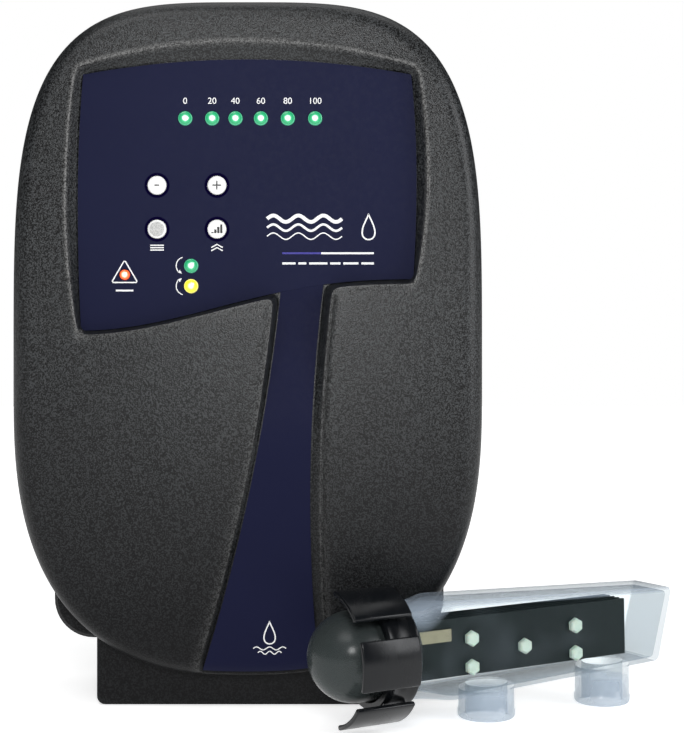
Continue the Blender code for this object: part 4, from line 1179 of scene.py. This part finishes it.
# ------------------------------------------------------------------- materials
class Look:
    """A material whose colour, roughness and relief come from object-space textures."""

    def __init__(self, name, roughness=0.5, metallic=0.0, **uniform):
        self.material = bpy.data.materials.new(name)
        self.material.use_nodes = True
        self.tree = self.material.node_tree
        self.shader = self.tree.nodes["Principled BSDF"]
        self.shader.inputs["Roughness"].default_value = roughness
        self.shader.inputs["Metallic"].default_value = metallic
        for socket, value in uniform.items():
            self.shader.inputs[socket.replace("_", " ")].default_value = value
        self.place = self.add("ShaderNodeTexCoord").outputs["Object"]

    def add(self, kind, inputs=(), **settings):
        node = self.tree.nodes.new(kind)
        for name, value in settings.items():
            setattr(node, name, value)
        for socket, value in dict(inputs).items():
            if isinstance(value, bpy.types.NodeSocket):
                self.tree.links.new(value, node.inputs[socket])
            else:
                node.inputs[socket].default_value = value
        return node

    def stretched(self, factors):
        return self.add("ShaderNodeMapping", {"Vector": self.place, "Scale": factors}).outputs[0]

    def noise(self, scale, detail=2.0, rough=0.5, place=None):
        sockets = {"Vector": place or self.place, "Scale": scale, "Detail": detail, "Roughness": rough}
        return self.add("ShaderNodeTexNoise", sockets).outputs["Fac"]

    def cells(self, scale):
        return self.add("ShaderNodeTexVoronoi", {"Vector": self.place, "Scale": scale}).outputs["Distance"]

    def axis(self, number, source=None):
        """One of the three numbers of the place, or of another source."""
        return self.add("ShaderNodeSeparateXYZ", {0: source or self.place}).outputs[number]

    def reach(self, first, second):
        """Distance from the object's origin across two of its axes."""
        parts = self.add("ShaderNodeSeparateXYZ", {0: self.place}).outputs
        squares = [self.math("MULTIPLY", parts[k], parts[k]) for k in (first, second)]
        return self.math("SQRT", self.math("ADD", *squares))

    def math(self, operation, one, two=0.0, clamp=False):
        return self.add("ShaderNodeMath", {0: one, 1: two}, operation=operation, use_clamp=clamp).outputs[0]

    def ranged(self, value, low, high, to_low, to_high):
        sockets = {"Value": value, "From Min": low, "From Max": high, "To Min": to_low, "To Max": to_high}
        return self.add("ShaderNodeMapRange", sockets).outputs["Result"]

    def ramp(self, value, stops):
        node = self.add("ShaderNodeValToRGB", {"Fac": value})
        elements = node.color_ramp.elements
        while len(elements) < len(stops):
            elements.new(0.5)
        for element, (spot, colour) in zip(elements, stops):
            element.position = spot
            element.color = (*colour, 1.0)
        return node.outputs["Color"]

    def mixed(self, share, one, two):
        node = self.add("ShaderNodeMix", {"Factor": share}, data_type="RGBA")
        for socket, value in ((node.inputs[6], one), (node.inputs[7], two)):
            if isinstance(value, bpy.types.NodeSocket):
                self.tree.links.new(value, socket)
            else:
                socket.default_value = (*value, 1.0)
        return node.outputs[2]

    def feed(self, **sockets):
        for name, value in sockets.items():
            self.tree.links.new(value, self.shader.inputs[name.replace("_", " ")])
        return self

    def bumped(self, height, strength, distance):
        sockets = {"Height": height, "Strength": strength, "Distance": distance}
        return self.add("ShaderNodeBump", sockets).outputs["Normal"]


def case_plastic():
    """Spark-eroded plastic: pale specks on black, a painted highlight along the recess and painted shade
    towards the foot.
    """
    look = Look("case_plastic")
    fine, coarse, cloud = look.noise(1300, 1.0), look.noise(600, 1.0), look.noise(9, 2.0)
    grain = look.math("ADD", look.math("MULTIPLY", fine, 0.72), look.math("MULTIPLY", coarse, 0.28))
    specks = look.ranged(grain, 0.46, 0.58, 0.0, 1.0)
    colour = look.mixed(specks, (0.0005, 0.0006, 0.0008), (0.036, 0.039, 0.041))
    colour = look.mixed(look.ranged(cloud, 0.35, 0.65, 0.0, 0.25), colour, (0.009, 0.0095, 0.0105))
    height = look.axis(2)
    # painted shade: the colour darkens and the reflection weakens towards the foot
    colour = look.mixed(look.ranged(height, 0.19, 0.03, 0.0, 0.75), colour, (0.003, 0.003, 0.0035))
    look.feed(Specular_IOR_Level=look.ranged(height, 0.21, 0.05, 0.42, 0.14))
    # painted highlight: the bead round the recess and the shoulders turn pale grey, broken by the grain
    painted_highlight = look.add("ShaderNodeAttribute", attribute_name="painted_edge_highlight").outputs["Fac"]
    highlight_share = look.math("MULTIPLY", painted_highlight, look.ranged(grain, 0.42, 0.58, 0.15, 1.0), clamp=True)
    colour = look.mixed(highlight_share, colour, (0.13, 0.13, 0.128))
    normal = look.bumped(grain, 0.6, 0.5 * MM)
    look.feed(Base_Color=colour, Roughness=look.ranged(grain, 0.4, 0.6, 0.33, 0.46), Normal=normal)
    return look.material


def film(name, colour):
    look = Look(name, Specular_IOR_Level=0.04)
    cloud = look.noise(30, 3.0)
    deep = tuple(c * 0.86 for c in colour)
    look.feed(Base_Color=look.mixed(cloud, deep, colour),
              Roughness=look.ranged(look.noise(500, 2.0), 0.3, 0.7, 0.42, 0.52),
              Normal=look.bumped(look.noise(700, 2.0), 0.08, 0.1 * MM))
    return look.material


def ink(name, colour, shine=0.3):
    look = Look(name, Specular_IOR_Level=shine)
    thin = tuple(c * 0.88 for c in colour)
    look.feed(Base_Color=look.mixed(look.noise(1500, 2.0), thin, colour),
              Roughness=look.ranged(look.noise(900, 1.0), 0.3, 0.7, 0.4, 0.55))
    return look.material


def speckled(name):
    look = Look(name, 0.5)
    dots = look.ranged(look.cells(2600), 0.15, 0.5, 0.0, 1.0)
    look.feed(Base_Color=look.mixed(dots, (0.12, 0.12, 0.12), (0.50, 0.50, 0.49)),
              Normal=look.bumped(look.noise(2500, 1.0), 0.1, 0.05 * MM))
    return look.material


def lamp(name, glow, stops):
    """A lit lens: a hot centre that fades to the tinted rim; stops are places and colours outwards."""
    look = Look(name, 0.18, Emission_Strength=glow)
    outwards = look.math("DIVIDE", look.reach(0, 2), LED_R)
    uneven = look.math("MULTIPLY", look.math("SUBTRACT", look.noise(700, 2.0), 0.5), 0.14)
    colour = look.ramp(look.math("ADD", outwards, uneven), stops)
    look.feed(Base_Color=colour, Emission_Color=colour)
    return look.material


def lamps():
    return {
        "green": lamp("led_green", 0.5, (
            (0.0, (0.95, 1.0, 0.97)), (0.24, (0.80, 1.0, 0.88)), (0.5, (0.035, 0.36, 0.16)),
            (0.82, (0.010, 0.24, 0.09)), (1.0, (0.08, 0.40, 0.24)))),
        "red": lamp("led_red", 0.55, (
            (0.0, (1.0, 0.93, 0.86)), (0.26, (1.0, 0.75, 0.55)), (0.5, (0.95, 0.16, 0.04)),
            (0.82, (0.75, 0.05, 0.01)), (1.0, (0.85, 0.22, 0.10)))),
        "yellow": lamp("led_yellow", 0.45, (
            (0.0, (1.0, 1.0, 0.88)), (0.26, (1.0, 1.0, 0.62)), (0.5, (0.85, 0.78, 0.06)),
            (0.82, (0.72, 0.62, 0.02)), (1.0, (0.88, 0.80, 0.25)))),
    }


def clear(name, tint, body, low, high, roughness=0.06, relief=0.1, shine=0.6, box=False):
    """Thin clear plastic: see-through face on, brighter and more solid at its edges.
    A box is also more solid at its ports, its top and its far end."""
    look = Look(name, roughness, Specular_IOR_Level=shine)
    haze = look.noise(22, 3.0)
    look.feed(Base_Color=look.mixed(haze, tuple(c * 0.86 for c in body), body),
              Roughness=look.ranged(look.noise(60, 2.0), 0.3, 0.7, roughness * 0.7, roughness * 1.8),
              Normal=look.bumped(look.noise(30, 1.0), relief, 1.0 * MM))
    facing = look.add("ShaderNodeLayerWeight", {"Blend": 0.42}).outputs["Facing"]
    cloudy = look.math("ADD", look.math("POWER", facing, 3.2), look.ranged(haze, 0.3, 0.7, -0.03, 0.02))
    solid = look.ranged(cloudy, 0.0, 1.0, low, high)
    if box:
        solid = box_solidity(look, solid)
    through = look.add("ShaderNodeBsdfTransparent", {"Color": (*tint, 1.0)}).outputs[0]
    mix = look.add("ShaderNodeMixShader", {0: solid, 1: through, 2: look.shader.outputs[0]})
    look.tree.links.new(mix.outputs[0], look.tree.nodes["Material Output"].inputs["Surface"])
    return look.material


def box_solidity(look, solid):
    solid = look.math("MAXIMUM", solid, look.ranged(look.axis(2), PORT_TOP, PORT_TOP * 0.7, 0.0, 0.42))
    normal = look.add("ShaderNodeTexCoord").outputs["Normal"]
    solid = look.math("MAXIMUM", solid, look.ranged(look.axis(2, normal), 0.5, 0.9, 0.0, 0.5))
    sockets = {0: normal, 1: CELL_HEADING}
    along = look.add("ShaderNodeVectorMath", sockets, operation="DOT_PRODUCT").outputs["Value"]
    return look.math("MAXIMUM", solid, look.ranged(look.math("ABSOLUTE", along), 0.5, 0.95, 0.0, 0.3))


def glossy_black():
    look = Look("nut_plastic", Specular_IOR_Level=0.3)
    streaks = look.noise(120, 3.0, place=look.stretched((1.0, 0.3, 0.3)))
    look.feed(Base_Color=look.mixed(streaks, (0.0018, 0.0026, 0.0040), (0.006, 0.0068, 0.008)),
              Roughness=look.ranged(streaks, 0.3, 0.7, 0.18, 0.32),
              Normal=look.bumped(look.noise(55, 2.0), 0.1, 0.6 * MM))
    return look.material


def electrode_coating():
    look = Look("electrode_coating", Specular_IOR_Level=0.22)
    patches, fine = look.noise(70, 4.0, 0.6), look.noise(1400, 2.0)
    look.feed(Base_Color=look.mixed(patches, (0.0045, 0.0085, 0.0095), (0.011, 0.018, 0.018)),
              Roughness=look.ranged(fine, 0.3, 0.7, 0.38, 0.60),
              Normal=look.bumped(fine, 0.25, 0.12 * MM))
    return look.material


def nylon():
    look = Look("bolt_nylon", Subsurface_Weight=0.2, Subsurface_Scale=0.0015)
    patches = look.noise(420, 3.0)
    look.feed(Base_Color=look.mixed(patches, (0.44, 0.54, 0.45), (0.68, 0.76, 0.66)),
              Roughness=look.ranged(patches, 0.3, 0.7, 0.32, 0.5),
              Normal=look.bumped(look.noise(800, 2.0), 0.2, 0.15 * MM))
    return look.material


def metal(name, colour, roughness, grain=(30.0, 1.0, 30.0), metallic=1.0):
    """Brushed metal; grain is the stretch of its brushing along X, Y and Z."""
    look = Look(name, metallic=metallic)
    brush = look.noise(60, 4.0, 0.6, look.stretched(grain))
    deep = tuple(c * 0.72 for c in colour)
    look.feed(Base_Color=look.mixed(look.noise(200, 2.0), deep, colour),
              Roughness=look.ranged(brush, 0.3, 0.7, roughness * 0.8, roughness * 1.25),
              Normal=look.bumped(brush, 0.12, 0.1 * MM))
    return look.material


def moulded(name, colour, roughness, scale=700.0, relief=0.25):
    look = Look(name)
    fine = look.noise(scale, 2.0)
    deep = tuple(c * 0.75 for c in colour)
    look.feed(Base_Color=look.mixed(look.noise(40, 3.0), deep, colour),
              Roughness=look.ranged(fine, 0.3, 0.7, roughness * 0.85, roughness * 1.15),
              Normal=look.bumped(fine, relief, 0.15 * MM))
    return look.material


def circuit_board():
    look = Look("circuit_board", 0.4)
    bricks = {"Vector": look.place, "Scale": 95.0, "Mortar Size": 0.05, "Mortar": (0.02, 0.16, 0.07, 1),
              "Color1": (0.006, 0.055, 0.022, 1), "Color2": (0.008, 0.07, 0.028, 1)}
    tracks = look.add("ShaderNodeTexBrick", bricks).outputs["Color"]
    look.feed(Base_Color=look.mixed(look.noise(50, 2.0), tracks, (0.006, 0.05, 0.02)),
              Normal=look.bumped(look.noise(300, 2.0), 0.1, 0.1 * MM))
    return look.material


def winding():
    look = Look("winding_tape", 0.45)
    bands = {"Vector": look.place, "Scale": 160.0, "Distortion": 2.0}
    turns = look.add("ShaderNodeTexWave", bands).outputs["Fac"]
    look.feed(Base_Color=look.mixed(turns, (0.16, 0.09, 0.02), (0.5, 0.34, 0.09)),
              Normal=look.bumped(turns, 0.3, 0.2 * MM))
    return look.material


def dress(node_look):
    """Better materials for the CAD nodes that stay as they are."""
    for look, nodes in node_look.items():
        for name in nodes:
            NODES[name].data.materials.clear()
            NODES[name].data.materials.append(look)


# ------------------------------------------------------- studio and the object
def area_light(name, place, target, size, power, colour):
    lamp_data = bpy.data.lights.new(name, "AREA")
    lamp_data.shape = "RECTANGLE"
    lamp_data.size, lamp_data.size_y = size
    lamp_data.energy = power
    lamp_data.color = colour
    light = bpy.data.objects.new(name, lamp_data)
    light.location = place
    light.rotation_euler = (Vector(target) - Vector(place)).to_track_quat("-Z", "Y").to_euler()
    bpy.context.scene.collection.objects.link(light)


FLOOR_GLOW = 0.66
FLOOR_SIZE = 6
AMBIENT = 0.05
MIDDLE = (0, -40 * MM, 190 * MM)
# name, place, target, size, power and colour, in metres and watts
LIGHTS = (
    ("key", (-0.35, -0.75, 1.25), MIDDLE, (0.7, 0.5), 5.5, (1, 1, 1)),
    ("side", (1.1, -0.55, 0.6), MIDDLE, (0.5, 0.8), 7, (0.97, 0.98, 1.0)),
    ("top", (0.1, 0.3, 1.4), MIDDLE, (1.2, 0.8), 3.5, (1, 1, 1)),
    ("front", (0.02, -0.98, 0.46), (-0.02, 0, 0.25), (0.24, 0.2), 3.9, (1, 1, 1)),
)


def camera():
    data = bpy.data.cameras.new("camera")
    data.lens = 73.87
    data.sensor_width = 36
    eye = bpy.data.objects.new("camera", data)
    eye.location = (50 * MM, -838 * MM, 181.7 * MM)
    eye.rotation_euler = (math.radians(90), 0, 0)
    bpy.context.scene.collection.objects.link(eye)
    bpy.context.scene.camera = eye
    bpy.context.scene.view_settings.view_transform = "Standard"


def floor_paper():
    """Pale paper that glows a little, less in front of the object and more far away."""
    look = Look("floor_paper", 0.9)
    look.feed(Base_Color=look.mixed(look.noise(3, 2.0), (0.88, 0.88, 0.88), (0.92, 0.92, 0.92)))
    look.shader.inputs["Emission Color"].default_value = (1, 1, 1, 1)
    near = look.ranged(look.axis(1), -0.45, -0.07, 0.40, FLOOR_GLOW)
    far = look.ranged(look.reach(0, 1), 0.2, 1.3, 0.0, 0.55)
    look.feed(Emission_Strength=look.math("ADD", near, far))
    return look.material


def backdrop():
    """A world that is white to the camera and dim as a light."""
    world = bpy.data.worlds.new("studio")
    bpy.context.scene.world = world
    world.use_nodes = True
    tree = world.node_tree
    sky = tree.nodes["Background"]
    sky.inputs["Color"].default_value = (0.96, 0.98, 1.0, 1)
    sky.inputs["Strength"].default_value = AMBIENT
    seen = tree.nodes.new("ShaderNodeBackground")
    seen.inputs["Color"].default_value = (1, 1, 1, 1)
    path = tree.nodes.new("ShaderNodeLightPath")
    mix = tree.nodes.new("ShaderNodeMixShader")
    for source, target in ((path.outputs["Is Camera Ray"], mix.inputs[0]), (sky.outputs[0], mix.inputs[1]),
                           (seen.outputs[0], mix.inputs[2]),
                           (mix.outputs[0], tree.nodes["World Output"].inputs["Surface"])):
        tree.links.new(source, target)


def studio():
    camera()
    bm = bmesh.new()
    bmesh.ops.create_grid(bm, x_segments=2, y_segments=2, size=FLOOR_SIZE)
    floor = add_mesh("floor", bm, floor_paper())
    floor.location.z = -0.2 * MM
    backdrop()
    for light in LIGHTS:
        area_light(*light)


def build_controller(plastic, rubber, steel):
    white = ink("print_white", (0.84, 0.84, 0.84))
    front_cover(plastic)
    panel_film(film("overlay_film", (0.0105, 0.0122, 0.036)))
    stripe_film(film("stripe_film", (0.0090, 0.0104, 0.033)))
    panel_printing(white, ink("print_dark_blue", (0.0022, 0.0012, 0.018), shine=0.0),
                   ink("print_accent", (0.035, 0.030, 0.26)))
    stripe_printing(white)
    key_caps(moulded("key_cap", (0.86, 0.86, 0.85), 0.38, 900.0, 0.05),
             ink("print_dark", (0.030, 0.030, 0.032)), speckled("print_grey"))
    lenses(lamps())
    rear_case(plastic)
    cable_glands(moulded("gland_nylon", (0.034, 0.035, 0.038), 0.5), rubber)
    cover_screws(steel)
    wall_bracket(steel)


def build_cell(rubber):
    cell_housing(clear("clear_plastic", (0.96, 0.98, 0.985), (0.44, 0.52, 0.62), 0.0, 0.92, box=True))
    head_dome(clear("smoky_plastic", (0.62, 0.66, 0.65), (0.055, 0.066, 0.066), 0.66, 0.85,
                    roughness=0.2, relief=0.0, shine=0.28))
    carrier_and_posts(moulded("carrier_grey", (0.020, 0.024, 0.028), 0.35), rubber,
                      metal("titanium", (0.48, 0.45, 0.38), 0.36, (1.0, 1.0, 24.0)))
    union_nut(glossy_black())
    stack_bolts(nylon())


def build():
    rubber = moulded("gasket_rubber", (0.016, 0.016, 0.016), 0.7)
    steel = metal("screw_steel", (0.62, 0.62, 0.63), 0.3)
    build_controller(case_plastic(), rubber, steel)
    build_cell(rubber)
    dress({
        rubber: ["cover_gasket"],
        circuit_board(): ["control_board", "power_board"],
        moulded("switch_black", (0.014, 0.014, 0.015), 0.4): SWITCH_NODES + ["fuse_holder"],
        winding(): ["transformer"],
        steel: ["transformer_clamp"],
        metal("heat_sink_aluminium", (0.72, 0.72, 0.74), 0.35): ["heat_sink"],
        moulded("terminal_green", (0.03, 0.2, 0.08), 0.45): ["terminal_block"],
        electrode_coating(): [f"electrode_plate_{i}" for i in range(1, 6)],
        metal("contact_titanium", (0.33, 0.30, 0.20), 0.4, (1.0, 1.0, 24.0), 0.4): ["contact_tab"],
    })


build()
studio()
